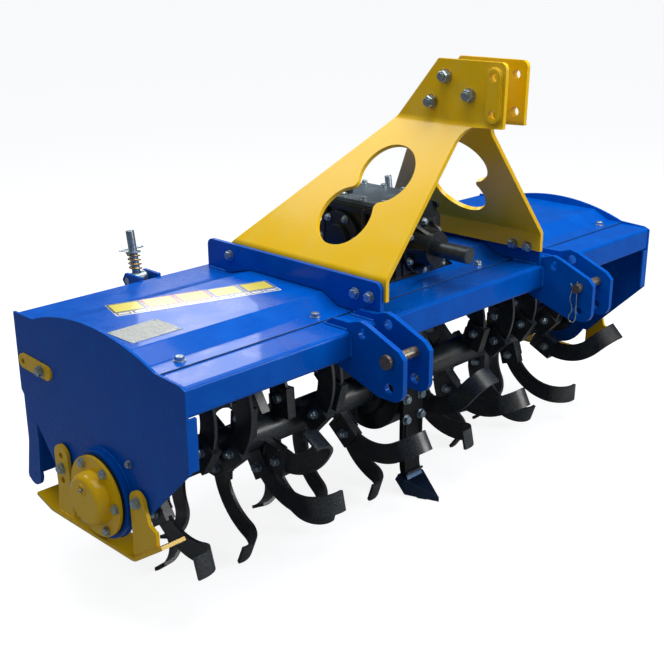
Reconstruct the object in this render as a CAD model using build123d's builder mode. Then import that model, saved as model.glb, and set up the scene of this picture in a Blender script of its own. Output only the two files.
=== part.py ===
"""Rotary tiller for a tractor's three-point hitch, driven at its centre.

Millimetres. X runs along the rotor, Y runs back from the tractor, Z is up, and the floor is Z 0.
Left and right are the driver's, so the left half is the one at +X. Every y and z below is measured
from the rotor's axis, which the three view planes set at its place above the floor.
"""

from math import atan2, cos, degrees, hypot, radians, sin, sqrt
import os

from build123d import *

os.makedirs("parts", exist_ok=True)

# Stance
AXIS_Z = 260.0  # rotor axis above the floor: the lowest tine tips and the chisel touch it
AXIS_Y = 15.6  # rotor axis behind the middle of the machine's length

# End plates and hood
PLATE_X = 812.0  # outer face of an end plate
PLATE_T = 6.0
PLATE_FRONT_Y = -278.0
PLATE_REAR_Y = 307.0
PLATE_TOP_Z = 315.0
PLATE_CROWN_Z = 351.0
PLATE_BOTTOM_Z = -36.0
PLATE_LIP = 18.0  # width of the folded front edge
HOOD_T = 3.0
HOOD_DECK_Z = 330.0
HOOD_REAR_Z = 310.0
HOOD_FRONT_Y = -193.0
HOOD_BEND_R = 8.0
HOOD_GAP_X = 122.0  # half width of the hood's opening round the gearbox
HOOD_GAP_FRONT_Y = -134.0
HOOD_GAP_REAR_Y = 136.0
INNER_X = PLATE_X - PLATE_T

# Front beam and rear rail
BEAM_FRONT_Y = -276.0
BEAM_DEPTH = 150.0
BEAM_TOP_Z = 303.0
BEAM_HEIGHT = 62.0
BEAM_WALL = 12.0
BEAM_CORNER_R = 9.0
BEAM_BORE_R = 2.0  # inside corners
RAIL_REAR_Y = 302.0
RAIL_DEPTH = 36.0
RAIL_HEIGHT = 26.0
RAIL_WALL = 3.0

# Mast
BRACKET_X = 284.0  # inner face of a mast bracket, where the mast plate's foot seats
BRACKET_T = 10.0
BRACKET_REAR_Y = 290.0
BRACKET_TOP_Z = 382.0
BRACKET_GAP = 2.0  # open seam over the hood
MAST_T = 10.0
MAST_FOOT_Z = 340.0
MAST_KNEE_Z = 388.0
MAST_NECK_X = 42.0  # outer face of a mast top plate
MAST_TOP_Z = 815.0
MAST_HEAD = 132.0  # height of the upright top plates above the neck
MAST_NECK_Z = MAST_TOP_Z - MAST_HEAD
MAST_FRONT_Y = -279.0
MAST_NOSE_Y = -383.0
MAST_NOSE_R = 14.0
MAST_BEND_R = 10.0
LOBE_R = 73.0
LOBES = ((-86.0, 0.32), (-142.0, 0.624))  # each lobe's y, and its share of the way up the slope
TOP_LINK_R = 9.6  # hole radius for a 19 mm top link pin
TOP_LINK_Y = -356.0
TOP_LINK_ROWS = (MAST_TOP_Z - 30.0, MAST_TOP_Z - 107.0)
TIE_BOLTS = ((-228.0, MAST_TOP_Z - 36.0), (-191.0, MAST_TOP_Z - 92.0), (-293.0, MAST_TOP_Z - 71.0))
DOUBLER_T = 6.0
DOUBLER_W = 34.0
SPACER_R = 12.0
SPACER_BORE_R = 8.2

# Lower hitch
HITCH_X = 341.5  # middle of a lower clevis: category I, 683 mm from side to side
HITCH_GAP = 67.0
HITCH_PLATE_T = 12.0
HITCH_HOLE_R = 11.3
HITCH_PIN_R = 11.2
HITCH_PIN_Y = -382.0
HITCH_PIN_Z = 266.0
HITCH_LOW_Z = 207.0
HITCH_HIGH_Y = -308.0
HITCH_HIGH_Z = 306.0
HITCH_NOSE = 37.0  # plate left in front of the pin's middle
HITCH_CORNER_R = 26.0
HITCH_HEAD_R = HITCH_PIN_R + 4

# Gearbox and drive
SHAFT_Z = 384.0
SHAFT_R = 19.0
SHAFT_END_Y = -277.0
SHAFT_JOURNAL_R = 21.0  # the shaft's thicker part, inside the seal boss
SEAL_FACE_Y = -183.0
SEAL_R = 38.0
GEARBOX_X = 78.0
GEARBOX_FRONT_Y = -126.0
GEARBOX_REAR_Y = 122.0
GEARBOX_TOP_Z = 474.0
BASE_X = 117.0
BASE_FRONT_Y = -132.0
BASE_REAR_Y = 132.0
BASE_T = 14.0
COVER_T = 10.0
SIDE_COVER_Y = 52.0
SIDE_COVER_R = 66.0
CASE_X = 46.0
CASE_FRONT_Y = -108.0
CASE_R = 108.0
CHISEL_PLATE_T = 12.0
CHISEL_X = 38.0
SHANK_X = 28.0
SHANK_T = 18.0
POINT_X = 37.0

# Rotor
TUBE_R = 38.0
TUBE_START_X = 62.0
TUBE_END_X = PLATE_X - 36.0
FLANGE_R = 62.0
FLANGE_T = 12.0
HUB_R = 32.0
STUB_R = 20.0
RUNNING_GAP = 0.3
REST_HALF_ANGLE = 8.0  # degrees from straight down to each of the two tips that a half stands on
RESTING_TIP = -90.0
TINE_TIP_R = AXIS_Z / cos(radians(REST_HALF_ANGLE))
TINE_W = 48.0
TINE_T = 8.0
TINE_SWEEP_R = 145.0  # the flat blade curves back about this radius
TINE_SWEEP = 71.0  # degrees
TINE_BEND_R = 56.0  # outside of the sideways bend
TINE_TURN = 103.0  # degrees that the blade's end turns from its flat
TINE_LEAN = 30.0  # degrees that a tine trails its root where it leaves the socket
TINE_ROOT_R = 70.0
SOCKET_X = 24.0
SOCKET_W = 58.0
SOCKET_BELOW = 30.0
SOCKET_ABOVE = 42.0

# Bearings at the rotor's ends
RING_R = 94.0
RING_T = 16.0
HOUSING_R = 86.0
HOUSING_FLANGE_T = 6.0
BARREL_R = 60.0
BARREL_DEPTH = 34.0
CAP_FLANGE_T = 7.0
CAP_DOME_R = 58.0
CAP_DOME_H = 28.0

# Skids
SKID_LEG_X = PLATE_X + 4.0  # inner face of a skid leg, on its washers
SKID_LEG_T = 8.0
SOLE_INNER_X = SKID_LEG_X - 43.0
SOLE_OUTER_X = SKID_LEG_X + 14.0
SOLE_T = 8.0
SOLE_Z = -103.0  # upper face
SKID_HOLE_R = 7.0

# Trailing board and its adjusters
HINGE_Y = 314.0
HINGE_Z = 292.0
HINGE_ROD_R = 6.0
HINGE_GAP = 0.1
KNUCKLE_R = 11.0
KNUCKLE_HALF = 30.0
BOARD_T = 3.0
BOARD_REAR_Y = 319.0
BOARD_SIDE_X = INNER_X - 5.0
BOARD_SIDE_T = 8.0
BOARD_TOP_Z = 270.0
BOARD_TAIL_Z = -88.0
ADJUSTER_X = 455.0
EAR_GAP = 44.0
EAR_T = 8.0
SWIVEL_Y = 360.0
SWIVEL_Z = 300.0
SWIVEL_R = 16.0
SWIVEL_PIN_R = 8.0
ROD_R = 10.0
ROD_GAP = 0.5
EYE_Y = 336.0
EYE_Z = 150.0
EYE_R = 8.5
EYE_PIN_R = 6.0
ROD_ABOVE = 114.0
SPRING_R = 14.0
SPRING_WIRE_R = 1.8
SPRING_TURNS = 4


def side_view(x):
    """Plane across the machine at x, drawn in y and z from the rotor axis."""
    return Plane(origin=(x, AXIS_Y, AXIS_Z), x_dir=(0, 1, 0), z_dir=(1, 0, 0))


def front_view(y):
    """Plane facing the tractor at y, drawn in x and z from the rotor axis."""
    return Plane(origin=(0, AXIS_Y + y, AXIS_Z), x_dir=(1, 0, 0), z_dir=(0, -1, 0))


def top_view(z):
    """Level plane at z, drawn in x and y from the rotor axis."""
    return Plane(origin=(0, AXIS_Y, AXIS_Z + z))


def write(part, name):
    """Labels one finished piece and writes its file."""
    part.label = name
    export_step(part, f"parts/{name}.step")


def write_pair(part, stem):
    """Writes the left piece as drawn and the right one as its mirror image."""
    write(mirror(part, about=Plane.YZ), f"{stem}_right")
    write(part, f"{stem}_left")


# End plate: a sheet with a crowned top, a folded front edge and the bearing's welded ring.
with BuildPart() as end_plate:
    with BuildSketch(side_view(INNER_X)):
        with BuildLine():
            crown = ThreePointArc((231, PLATE_TOP_Z), (30, PLATE_CROWN_Z), (-189, 309))
            Polyline(crown @ 1, (-262, 305), (PLATE_FRONT_Y, 298), (PLATE_FRONT_Y, 134))
            Polyline((PLATE_FRONT_Y, 134), (-108, PLATE_BOTTOM_Z), (168, PLATE_BOTTOM_Z))
            Polyline((168, PLATE_BOTTOM_Z), (PLATE_REAR_Y, 138), (PLATE_REAR_Y, PLATE_TOP_Z))
            Line((PLATE_REAR_Y, PLATE_TOP_Z), crown @ 0)
        make_face()
    extrude(amount=PLATE_T)
    with BuildSketch(side_view(INNER_X)):
        with Locations((PLATE_FRONT_Y, 136)):
            Rectangle(PLATE_T, BEAM_TOP_Z - BEAM_HEIGHT - 136, align=(Align.MIN, Align.MIN))
    extrude(amount=-PLATE_LIP)
    with BuildSketch(side_view(PLATE_X)):
        Circle(RING_R)
    extrude(amount=RING_T)
    with BuildSketch(side_view(INNER_X)):
        Circle(BARREL_R)
    extrude(amount=PLATE_T + RING_T, mode=Mode.SUBTRACT)
write_pair(end_plate.part, "end_plate")

# Front beam: a closed box section between the end plates.
with BuildPart() as front_beam:
    with BuildSketch(side_view(-INNER_X)):
        with Locations((BEAM_FRONT_Y + BEAM_DEPTH / 2, BEAM_TOP_Z - BEAM_HEIGHT / 2)):
            RectangleRounded(BEAM_DEPTH, BEAM_HEIGHT, BEAM_CORNER_R)
            RectangleRounded(
                BEAM_DEPTH - 2 * BEAM_WALL,
                BEAM_HEIGHT - 2 * BEAM_WALL,
                BEAM_BORE_R,
                mode=Mode.SUBTRACT,
            )
    extrude(amount=2 * INNER_X)
write(front_beam.part, "front_beam")

# Hood: one folded sheet, low at the back, raised over the rotor and stepped down to the beam.
with BuildPart() as hood:
    with BuildSketch(side_view(-INNER_X)):
        with BuildLine():
            FilletPolyline(
                (PLATE_REAR_Y, HOOD_REAR_Z),
                (205, HOOD_REAR_Z),
                (134, HOOD_DECK_Z),
                (-103, HOOD_DECK_Z),
                (-149, BEAM_TOP_Z + HOOD_T),
                (HOOD_FRONT_Y, BEAM_TOP_Z + HOOD_T),
                radius=HOOD_BEND_R,
            )
            offset(amount=HOOD_T, side=Side.LEFT)
        make_face()
    extrude(amount=2 * INNER_X)
    with BuildSketch(top_view(BEAM_TOP_Z)):
        with Locations((0, (HOOD_GAP_FRONT_Y + HOOD_GAP_REAR_Y) / 2)):
            Rectangle(2 * HOOD_GAP_X, HOOD_GAP_REAR_Y - HOOD_GAP_FRONT_Y)
    extrude(amount=60, both=True, mode=Mode.SUBTRACT)
write(hood.part, "hood")

# Rear rail: a box section under the hood's rear strip, with the trailing board's hinge ears.
rail_top_z = HOOD_REAR_Z - HOOD_T
with BuildPart() as rear_rail:
    with BuildSketch(side_view(-INNER_X)):
        with Locations((RAIL_REAR_Y - RAIL_DEPTH / 2, rail_top_z - RAIL_HEIGHT / 2)):
            Rectangle(RAIL_DEPTH, RAIL_HEIGHT)
            Rectangle(RAIL_DEPTH - 2 * RAIL_WALL, RAIL_HEIGHT - 2 * RAIL_WALL, mode=Mode.SUBTRACT)
    extrude(amount=2 * INNER_X)
    for ear_x in (-641, -567, -41, 33, 559, 633):
        with BuildSketch(side_view(ear_x)):
            with Locations((HINGE_Y, HINGE_Z)):
                Circle(KNUCKLE_R)
            with Locations((RAIL_REAR_Y, HINGE_Z)):
                Rectangle(HINGE_Y - RAIL_REAR_Y, 2 * KNUCKLE_R, align=(Align.MIN, Align.CENTER))
            with Locations((HINGE_Y, HINGE_Z)):
                Circle(HINGE_ROD_R + HINGE_GAP, mode=Mode.SUBTRACT)
        extrude(amount=EAR_T)
write(rear_rail.part, "rear_rail")

# Hinge rod: one plain bar through the rail's ears and the board's knuckles.
with BuildPart() as hinge_rod:
    with BuildSketch(side_view(-INNER_X + 8)):
        with Locations((HINGE_Y, HINGE_Z)):
            Circle(HINGE_ROD_R)
    extrude(amount=2 * (INNER_X - 8))
write(hinge_rod.part, "hinge_rod")

# Mast bracket: a plate on the beam and hood, cut to the hood's shape underneath.
seam_z = BEAM_TOP_Z + HOOD_T + BRACKET_GAP
with BuildPart() as mast_bracket:
    with BuildSketch(side_view(BRACKET_X)):
        with BuildLine():
            Polyline(
                (BEAM_FRONT_Y + 3, BRACKET_TOP_Z),
                (BRACKET_REAR_Y, BRACKET_TOP_Z),
                (BRACKET_REAR_Y, HOOD_REAR_Z),
                (214, HOOD_REAR_Z),
                (134, HOOD_DECK_Z + BRACKET_GAP),
                (-104, HOOD_DECK_Z + BRACKET_GAP),
                (-150, seam_z),
                (HOOD_FRONT_Y - BRACKET_GAP, seam_z),
                (HOOD_FRONT_Y - BRACKET_GAP, BEAM_TOP_Z),
                (BEAM_FRONT_Y + 3, BEAM_TOP_Z),
                close=True,
            )
        face = make_face()
        fillet(face.vertices().group_by(Axis.Y)[-1], 16)
    extrude(amount=BRACKET_T)
write_pair(mast_bracket.part, "mast_bracket")

# Mast plate: foot flange, leaning web with a figure-of-eight window, and upright top plate.
slope_length = hypot(MAST_NECK_Z - MAST_KNEE_Z, BRACKET_X - MAST_NECK_X)
mast_slope = Plane(
    origin=(BRACKET_X, AXIS_Y, AXIS_Z + MAST_KNEE_Z),
    x_dir=(0, 1, 0),
    z_dir=(MAST_NECK_Z - MAST_KNEE_Z, 0, BRACKET_X - MAST_NECK_X),
)
with BuildPart() as mast_plate:
    with BuildSketch(front_view(BRACKET_REAR_Y)):
        with BuildLine():
            FilletPolyline(
                (BRACKET_X, MAST_FOOT_Z),
                (BRACKET_X, MAST_KNEE_Z),
                (MAST_NECK_X, MAST_NECK_Z),
                (MAST_NECK_X, MAST_TOP_Z),
                radius=MAST_BEND_R + MAST_T,
            )
            offset(amount=MAST_T, side=Side.LEFT)
        make_face()
    extrude(amount=BRACKET_REAR_Y - MAST_NOSE_Y + 20)
    with BuildSketch(side_view(0)) as outline:
        with BuildLine():
            chin = (MAST_FRONT_Y - 26, MAST_NECK_Z - 5)
            Polyline(chin, (MAST_NOSE_Y + 3, MAST_NECK_Z - 2), (MAST_NOSE_Y, MAST_TOP_Z))
            Polyline((MAST_NOSE_Y, MAST_TOP_Z), (-206, MAST_TOP_Z), (-95, MAST_NECK_Z + 3))
            Polyline((-95, MAST_NECK_Z + 3), (206, MAST_KNEE_Z), (228, MAST_KNEE_Z - 22))
            Polyline((228, MAST_KNEE_Z - 22), (228, MAST_FOOT_Z), (MAST_FRONT_Y, MAST_FOOT_Z))
            front = Line((MAST_FRONT_Y, MAST_FOOT_Z), (MAST_FRONT_Y, MAST_NECK_Z - 43))
            ThreePointArc(front @ 1, (MAST_FRONT_Y - 7, MAST_NECK_Z - 19), chin)
        make_face()
        fillet(outline.vertices().group_by(Axis.Y)[-1].sort_by(Axis.X)[0], MAST_NOSE_R)
    extrude(amount=BRACKET_X + 10, mode=Mode.INTERSECT)
    with BuildSketch(mast_slope) as window:
        for lobe_y, share in LOBES:
            with Locations((lobe_y, share * slope_length)):
                Circle(LOBE_R)
        fillet(window.vertices(), 14)
    extrude(amount=30, both=True, mode=Mode.SUBTRACT)
    with BuildSketch(side_view(0)):
        for row_z in TOP_LINK_ROWS:
            with Locations((TOP_LINK_Y, row_z)):
                Circle(TOP_LINK_R)
        with Locations(*TIE_BOLTS):
            Circle(SPACER_BORE_R)
    extrude(amount=MAST_NECK_X + 10, mode=Mode.SUBTRACT)
write_pair(mast_plate.part, "mast_plate")

# Top link doubler: an oblong pad welded outside each mast top plate.
with BuildPart() as doubler:
    with BuildSketch(side_view(MAST_NECK_X)):
        with Locations((TOP_LINK_Y, sum(TOP_LINK_ROWS) / 2)):
            SlotCenterToCenter(TOP_LINK_ROWS[0] - TOP_LINK_ROWS[1], DOUBLER_W, rotation=90)
        for row_z in TOP_LINK_ROWS:
            with Locations((TOP_LINK_Y, row_z)):
                Circle(TOP_LINK_R, mode=Mode.SUBTRACT)
    extrude(amount=DOUBLER_T)
write_pair(doubler.part, "top_link_doubler")

# Mast spacers: three bolts in tubes that tie the two top plates together.
with BuildPart() as mast_spacers:
    neck_inner = MAST_NECK_X - MAST_T
    for tie_y, tie_z in TIE_BOLTS:
        with BuildSketch(side_view(-neck_inner)):
            with Locations((tie_y, tie_z)):
                Circle(SPACER_R)
        extrude(amount=2 * neck_inner)
        with BuildSketch(side_view(-MAST_NECK_X - 8)):
            with Locations((tie_y, tie_z)):
                Circle(SPACER_BORE_R - 0.2)
        extrude(amount=2 * (MAST_NECK_X + 8))
write(mast_spacers.part, "mast_spacers")

# Lower hitch clevis: two plates on the beam's front and top, each with three holes.
with BuildPart() as clevis:
    for plate_x in (HITCH_X - HITCH_GAP / 2 - HITCH_PLATE_T, HITCH_X + HITCH_GAP / 2):
        with BuildSketch(side_view(plate_x)) as cheek:
            with BuildLine():
                Polyline(
                    (BEAM_FRONT_Y + 78, BEAM_TOP_Z),
                    (BEAM_FRONT_Y + 50, BEAM_TOP_Z + 17),
                    (BEAM_FRONT_Y + 4, BEAM_TOP_Z + 18),
                    (HITCH_HIGH_Y + 6, HITCH_HIGH_Z + 24),
                    (HITCH_HIGH_Y - 14, HITCH_HIGH_Z + 19),
                    (HITCH_PIN_Y - 22, HITCH_PIN_Z + 25),
                    (HITCH_PIN_Y - HITCH_NOSE, HITCH_PIN_Z + 10),
                    (HITCH_PIN_Y - HITCH_NOSE, HITCH_LOW_Z - 25),
                    (HITCH_PIN_Y + 30, HITCH_LOW_Z - 25),
                    (BEAM_FRONT_Y + 8, HITCH_LOW_Z + 3),
                    (BEAM_FRONT_Y + 46, BEAM_TOP_Z - BEAM_HEIGHT - 17),
                    (BEAM_FRONT_Y + 46, BEAM_TOP_Z - BEAM_HEIGHT),
                    (BEAM_FRONT_Y, BEAM_TOP_Z - BEAM_HEIGHT),
                    (BEAM_FRONT_Y, BEAM_TOP_Z),
                    close=True,
                )
            make_face()
            fillet(cheek.vertices().group_by(Axis.Y)[0].sort_by(Axis.X)[0], HITCH_CORNER_R)
            with Locations(
                (HITCH_PIN_Y, HITCH_PIN_Z), (HITCH_PIN_Y, HITCH_LOW_Z), (HITCH_HIGH_Y, HITCH_HIGH_Z)
            ):
                Circle(HITCH_HOLE_R, mode=Mode.SUBTRACT)
        extrude(amount=HITCH_PLATE_T)
write_pair(clevis.part, "hitch_clevis")

# Hitch pin: headed on its outer side and through both plates of a clevis.
with BuildPart() as hitch_pin:
    pin_start = HITCH_X - HITCH_GAP / 2 - HITCH_PLATE_T - 16
    pin_end = HITCH_X + HITCH_GAP / 2 + HITCH_PLATE_T + 5
    with BuildSketch(side_view(pin_start)):
        with Locations((HITCH_PIN_Y, HITCH_PIN_Z)):
            Circle(HITCH_PIN_R)
    extrude(amount=pin_end - pin_start)
    with BuildSketch(side_view(pin_end)):
        with Locations((HITCH_PIN_Y, HITCH_PIN_Z)):
            Circle(HITCH_HEAD_R)
    extrude(amount=8)
write_pair(hitch_pin.part, "hitch_pin")

# Gearbox housing: a cast box over a bolted foot.
with BuildPart() as gearbox:
    with BuildSketch(top_view(BEAM_TOP_Z)):
        with Locations((0, (BASE_FRONT_Y + BASE_REAR_Y) / 2)):
            RectangleRounded(2 * BASE_X, BASE_REAR_Y - BASE_FRONT_Y, 22)
    extrude(amount=BASE_T)
    with BuildSketch(side_view(-GEARBOX_X)):
        with BuildLine():
            Polyline(
                (GEARBOX_FRONT_Y, BEAM_TOP_Z + BASE_T),
                (GEARBOX_FRONT_Y, 440),
                (GEARBOX_FRONT_Y + 30, GEARBOX_TOP_Z),
                (GEARBOX_REAR_Y, GEARBOX_TOP_Z),
                (GEARBOX_REAR_Y, BEAM_TOP_Z + BASE_T),
                close=True,
            )
        make_face()
    extrude(amount=2 * GEARBOX_X)
    fillet(gearbox.edges().filter_by(Axis.Z).group_by(SortBy.LENGTH)[-1], 10)
write(gearbox.part, "gearbox_housing")

# Gearbox top cover.
with BuildPart() as top_cover:
    with BuildSketch(top_view(GEARBOX_TOP_Z)):
        with Locations((0, (GEARBOX_FRONT_Y + 30 + GEARBOX_REAR_Y) / 2)):
            RectangleRounded(2 * GEARBOX_X + 8, GEARBOX_REAR_Y - GEARBOX_FRONT_Y - 30, 12)
    extrude(amount=COVER_T)
write(top_cover.part, "gearbox_top_cover")

# Side covers: round bearing caps of the gearbox's cross shaft.
with BuildPart() as side_cover:
    with BuildSketch(side_view(GEARBOX_X)):
        with Locations((SIDE_COVER_Y, SHAFT_Z)):
            Circle(SIDE_COVER_R)
    extrude(amount=10)
    with BuildSketch(side_view(GEARBOX_X + 10)):
        with Locations((SIDE_COVER_Y, SHAFT_Z)):
            Circle(SIDE_COVER_R - 32)
    extrude(amount=8)
write_pair(side_cover.part, "gearbox_side_cover")

# Input cover: the flanged seal boss that the input shaft comes out of.
with BuildPart() as input_cover:
    with BuildSketch(front_view(GEARBOX_FRONT_Y)):
        with Locations((0, SHAFT_Z)):
            Circle(66)
    extrude(amount=14)
    with BuildSketch(front_view(GEARBOX_FRONT_Y - 14)):
        with Locations((0, SHAFT_Z)):
            Circle(SEAL_R + 12)
    extrude(amount=GEARBOX_FRONT_Y - 14 - SEAL_FACE_Y, taper=14)
    with BuildSketch(front_view(GEARBOX_FRONT_Y)):
        with Locations((0, SHAFT_Z)):
            Circle(SHAFT_JOURNAL_R + RUNNING_GAP)
    extrude(amount=GEARBOX_FRONT_Y - SEAL_FACE_Y, mode=Mode.SUBTRACT)
write(input_cover.part, "input_cover")

# Input shaft: the smooth stub that takes the tractor's drive line.
with BuildPart() as input_shaft:
    for start_y, end_y, radius in (
        (GEARBOX_FRONT_Y, SEAL_FACE_Y, SHAFT_JOURNAL_R),
        (SEAL_FACE_Y, SHAFT_END_Y, SHAFT_R),
    ):
        with BuildSketch(front_view(start_y)):
            with Locations((0, SHAFT_Z)):
                Circle(radius)
        extrude(amount=start_y - end_y)
    chamfer(input_shaft.faces().sort_by(Axis.Y)[0].edges(), 2)
write(input_shaft.part, "input_shaft")

# Drive case: the narrow gear case from the gearbox down to the rotor.
with BuildPart() as drive_case:
    with BuildSketch(side_view(-CASE_X)):
        with BuildLine():
            Line((CASE_FRONT_Y, BEAM_TOP_Z), (CASE_FRONT_Y, 0))
            ThreePointArc((CASE_FRONT_Y, 0), (0, -CASE_R), (CASE_R, 0))
            Polyline((CASE_R, 0), (-CASE_FRONT_Y, BEAM_TOP_Z), (CASE_FRONT_Y, BEAM_TOP_Z))
        make_face()
        Circle(HUB_R + RUNNING_GAP, mode=Mode.SUBTRACT)
    extrude(amount=2 * CASE_X)
write(drive_case.part, "drive_case")

# Centre chisel: a bolted plate, a shank curved forward and a pointed foot.
with BuildPart() as chisel:
    with BuildSketch(front_view(CASE_FRONT_Y)):
        with BuildLine():
            Polyline(
                (-CHISEL_X, 22),
                (CHISEL_X, 22),
                (CHISEL_X, -118),
                (CHISEL_X - 12, -136),
                (12 - CHISEL_X, -136),
                (-CHISEL_X, -118),
                close=True,
            )
        make_face()
    extrude(amount=CHISEL_PLATE_T)
    with BuildSketch(side_view(-SHANK_X)):
        with BuildLine():
            FilletPolyline((-120, -60), (-120, 45 - AXIS_Z), (-183, 7 - AXIS_Z), radius=60)
            offset(amount=SHANK_T, side=Side.LEFT)
        make_face()
    extrude(amount=2 * SHANK_X)
    with BuildSketch(side_view(-POINT_X)):
        with Locations((0, -AXIS_Z)):
            Polygon((-106, 54), (-209, 12), (-209, 0), (-128, 4), (-96, 36), align=None)
    extrude(amount=2 * POINT_X)
    with BuildSketch(top_view(-AXIS_Z)):
        Polygon((0, -209), (-POINT_X, -126), (-POINT_X, -80), (POINT_X, -80), (POINT_X, -126), align=None)
        with Locations((0, -100)):
            Rectangle(2 * CHISEL_X, 60, align=(Align.CENTER, Align.MIN))
    extrude(amount=AXIS_Z + 50, mode=Mode.INTERSECT)
write(chisel.part, "centre_chisel")

# Rotor halves: tube, flanges, stub shaft and tines in holders.
# Each station is (x from the middle, first tip's angle, first blade's side, second blade's side), and
# its second tine is opposite the first. Side 1 runs towards the end plate and -1 towards the middle.
LEFT_STATIONS = (
    (92, 173, 1, 1),
    (160, -146, -1, -1),
    (253, -161, 1, 1),
    (330, RESTING_TIP - REST_HALF_ANGLE, -1, 1),
    (400, -72, 1, -1),
    (465, -115, 1, -1),
    (525, RESTING_TIP + REST_HALF_ANGLE, -1, 1),
    (587, -132, 1, -1),
    (632, -72, -1, 1),
    (677, -179, 1, 1),
)
RIGHT_STATIONS = (
    (80, -115, 1, 1),
    (150, -164, -1, 1),
    (215, RESTING_TIP - REST_HALF_ANGLE, 1, -1),
    (290, -72, 1, -1),
    (350, -118, -1, 1),
    (396, 167, 1, -1),
    (407, -146, -1, 1),
    (480, -110, 1, -1),
    (545, 115, -1, 1),
    (615, RESTING_TIP + REST_HALF_ANGLE, 1, -1),
    (694, -150, 1, -1),
)


def outward(angle):
    """Unit vector from the rotor's axis at an angle from straight back."""
    return Vector(0, cos(radians(angle)), sin(radians(angle)))


# A tine's tip is the leading edge of its bend, the point farthest from the axis.
end_lean = TINE_LEAN + TINE_SWEEP
sweep_ahead = TINE_SWEEP_R * (1 - cos(radians(TINE_SWEEP)))
tip_ahead = TINE_ROOT_R * sin(radians(end_lean)) + sweep_ahead + TINE_W / 2
tip_out = sqrt(TINE_TIP_R**2 - tip_ahead**2)
bend_z = tip_out - TINE_ROOT_R * cos(radians(end_lean)) - TINE_BEND_R
tip_to_root = end_lean - degrees(atan2(tip_ahead, tip_out))

# One tine with its root at the origin: flat blade in the YZ plane with its leading edge towards -y, curved
# until it runs along z, then bent towards +x.
root_heading = Vector(-sin(radians(TINE_SWEEP)), cos(radians(TINE_SWEEP)))
root_across = Vector(cos(radians(TINE_SWEEP)), sin(radians(TINE_SWEEP))) * TINE_W / 2
with BuildPart() as tine:
    with BuildSketch(Plane.YZ):
        with BuildLine():
            leading = JernArc(-root_across, root_heading, TINE_SWEEP_R + TINE_W / 2, -TINE_SWEEP)
            trailing = JernArc(root_across, root_heading, TINE_SWEEP_R - TINE_W / 2, -TINE_SWEEP)
            leading_end = Line(leading @ 1, leading @ 1 + Vector(0, 2 * TINE_BEND_R))
            trailing_end = Line(trailing @ 1, trailing @ 1 + Vector(0, 2 * TINE_BEND_R))
            Line(leading @ 0, trailing @ 0)
            Line(leading_end @ 1, trailing_end @ 1)
        make_face()
    extrude(amount=2 * TINE_BEND_R, both=True)
    with BuildSketch(Plane.XZ):
        with BuildLine():
            flat = Line((0, -TINE_W), (0, bend_z))
            JernArc(flat @ 1, flat % 1, TINE_BEND_R, -TINE_TURN)
            offset(amount=TINE_T, side=Side.RIGHT)
        make_face()
    extrude(amount=2 * TINE_SWEEP_R, both=True, mode=Mode.INTERSECT)
tines_by_bend = {1: tine.part, -1: mirror(tine.part, about=Plane.YZ)}

for rotor_side, rotor_name, stations in ((1, "left", LEFT_STATIONS), (-1, "right", RIGHT_STATIONS)):
    with BuildPart() as rotor_half:
        for start_x, end_x, radius in (
            (1, TUBE_START_X - FLANGE_T, HUB_R),
            (TUBE_START_X - FLANGE_T, TUBE_START_X, FLANGE_R),
            (TUBE_START_X, TUBE_END_X, TUBE_R),
            (TUBE_END_X, TUBE_END_X + 4, STUB_R + 8),
            (TUBE_END_X + 4, PLATE_X + 12, STUB_R),
        ):
            with BuildSketch(side_view(rotor_side * start_x)):
                Circle(radius)
            extrude(amount=rotor_side * (end_x - start_x))
        for station_x, tip_angle, first_side, second_side in stations:
            for turn, blade_side in ((0, first_side), (180, second_side)):
                root_angle = tip_angle + tip_to_root + turn
                root = Vector(rotor_side * station_x, AXIS_Y, AXIS_Z) + outward(root_angle) * TINE_ROOT_R
                bend_side = blade_side * rotor_side
                lean = outward(root_angle - TINE_LEAN)
                socket_start = root + Vector(bend_side * TINE_T / 2, 0, 0) - lean * SOCKET_BELOW
                with BuildSketch(Plane(origin=socket_start, x_dir=(1, 0, 0), z_dir=lean)):
                    Rectangle(SOCKET_X, SOCKET_W)
                extrude(amount=SOCKET_BELOW + SOCKET_ABOVE)
                seat = Plane(origin=root, x_dir=(1, 0, 0), z_dir=outward(root_angle - end_lean))
                add(tines_by_bend[bend_side].moved(seat.location))
    write(rotor_half.part, f"rotor_{rotor_name}")

# Bearing housing: barrel through the end plate and flange against its ring.
with BuildPart() as bearing_housing:
    with BuildSketch(side_view(PLATE_X + RING_T - BARREL_DEPTH)):
        Circle(BARREL_R)
    extrude(amount=BARREL_DEPTH)
    with BuildSketch(side_view(PLATE_X + RING_T)):
        Circle(HOUSING_R)
    extrude(amount=HOUSING_FLANGE_T)
    with BuildSketch(side_view(PLATE_X + RING_T - BARREL_DEPTH)):
        Circle(STUB_R + RUNNING_GAP)
    extrude(amount=BARREL_DEPTH, mode=Mode.SUBTRACT)
write_pair(bearing_housing.part, "bearing_housing")

# Bearing cap: bolted flange with a domed middle.
with BuildPart() as bearing_cap:
    with BuildSketch(side_view(PLATE_X + RING_T + HOUSING_FLANGE_T)):
        Circle(HOUSING_R)
    extrude(amount=CAP_FLANGE_T)
    with BuildSketch(side_view(PLATE_X + RING_T + HOUSING_FLANGE_T + CAP_FLANGE_T)):
        Circle(CAP_DOME_R)
    extrude(amount=CAP_DOME_H, taper=10)
    fillet(bearing_cap.edges().group_by(Axis.X)[-1], 12)
write_pair(bearing_cap.part, "bearing_cap")

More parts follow.
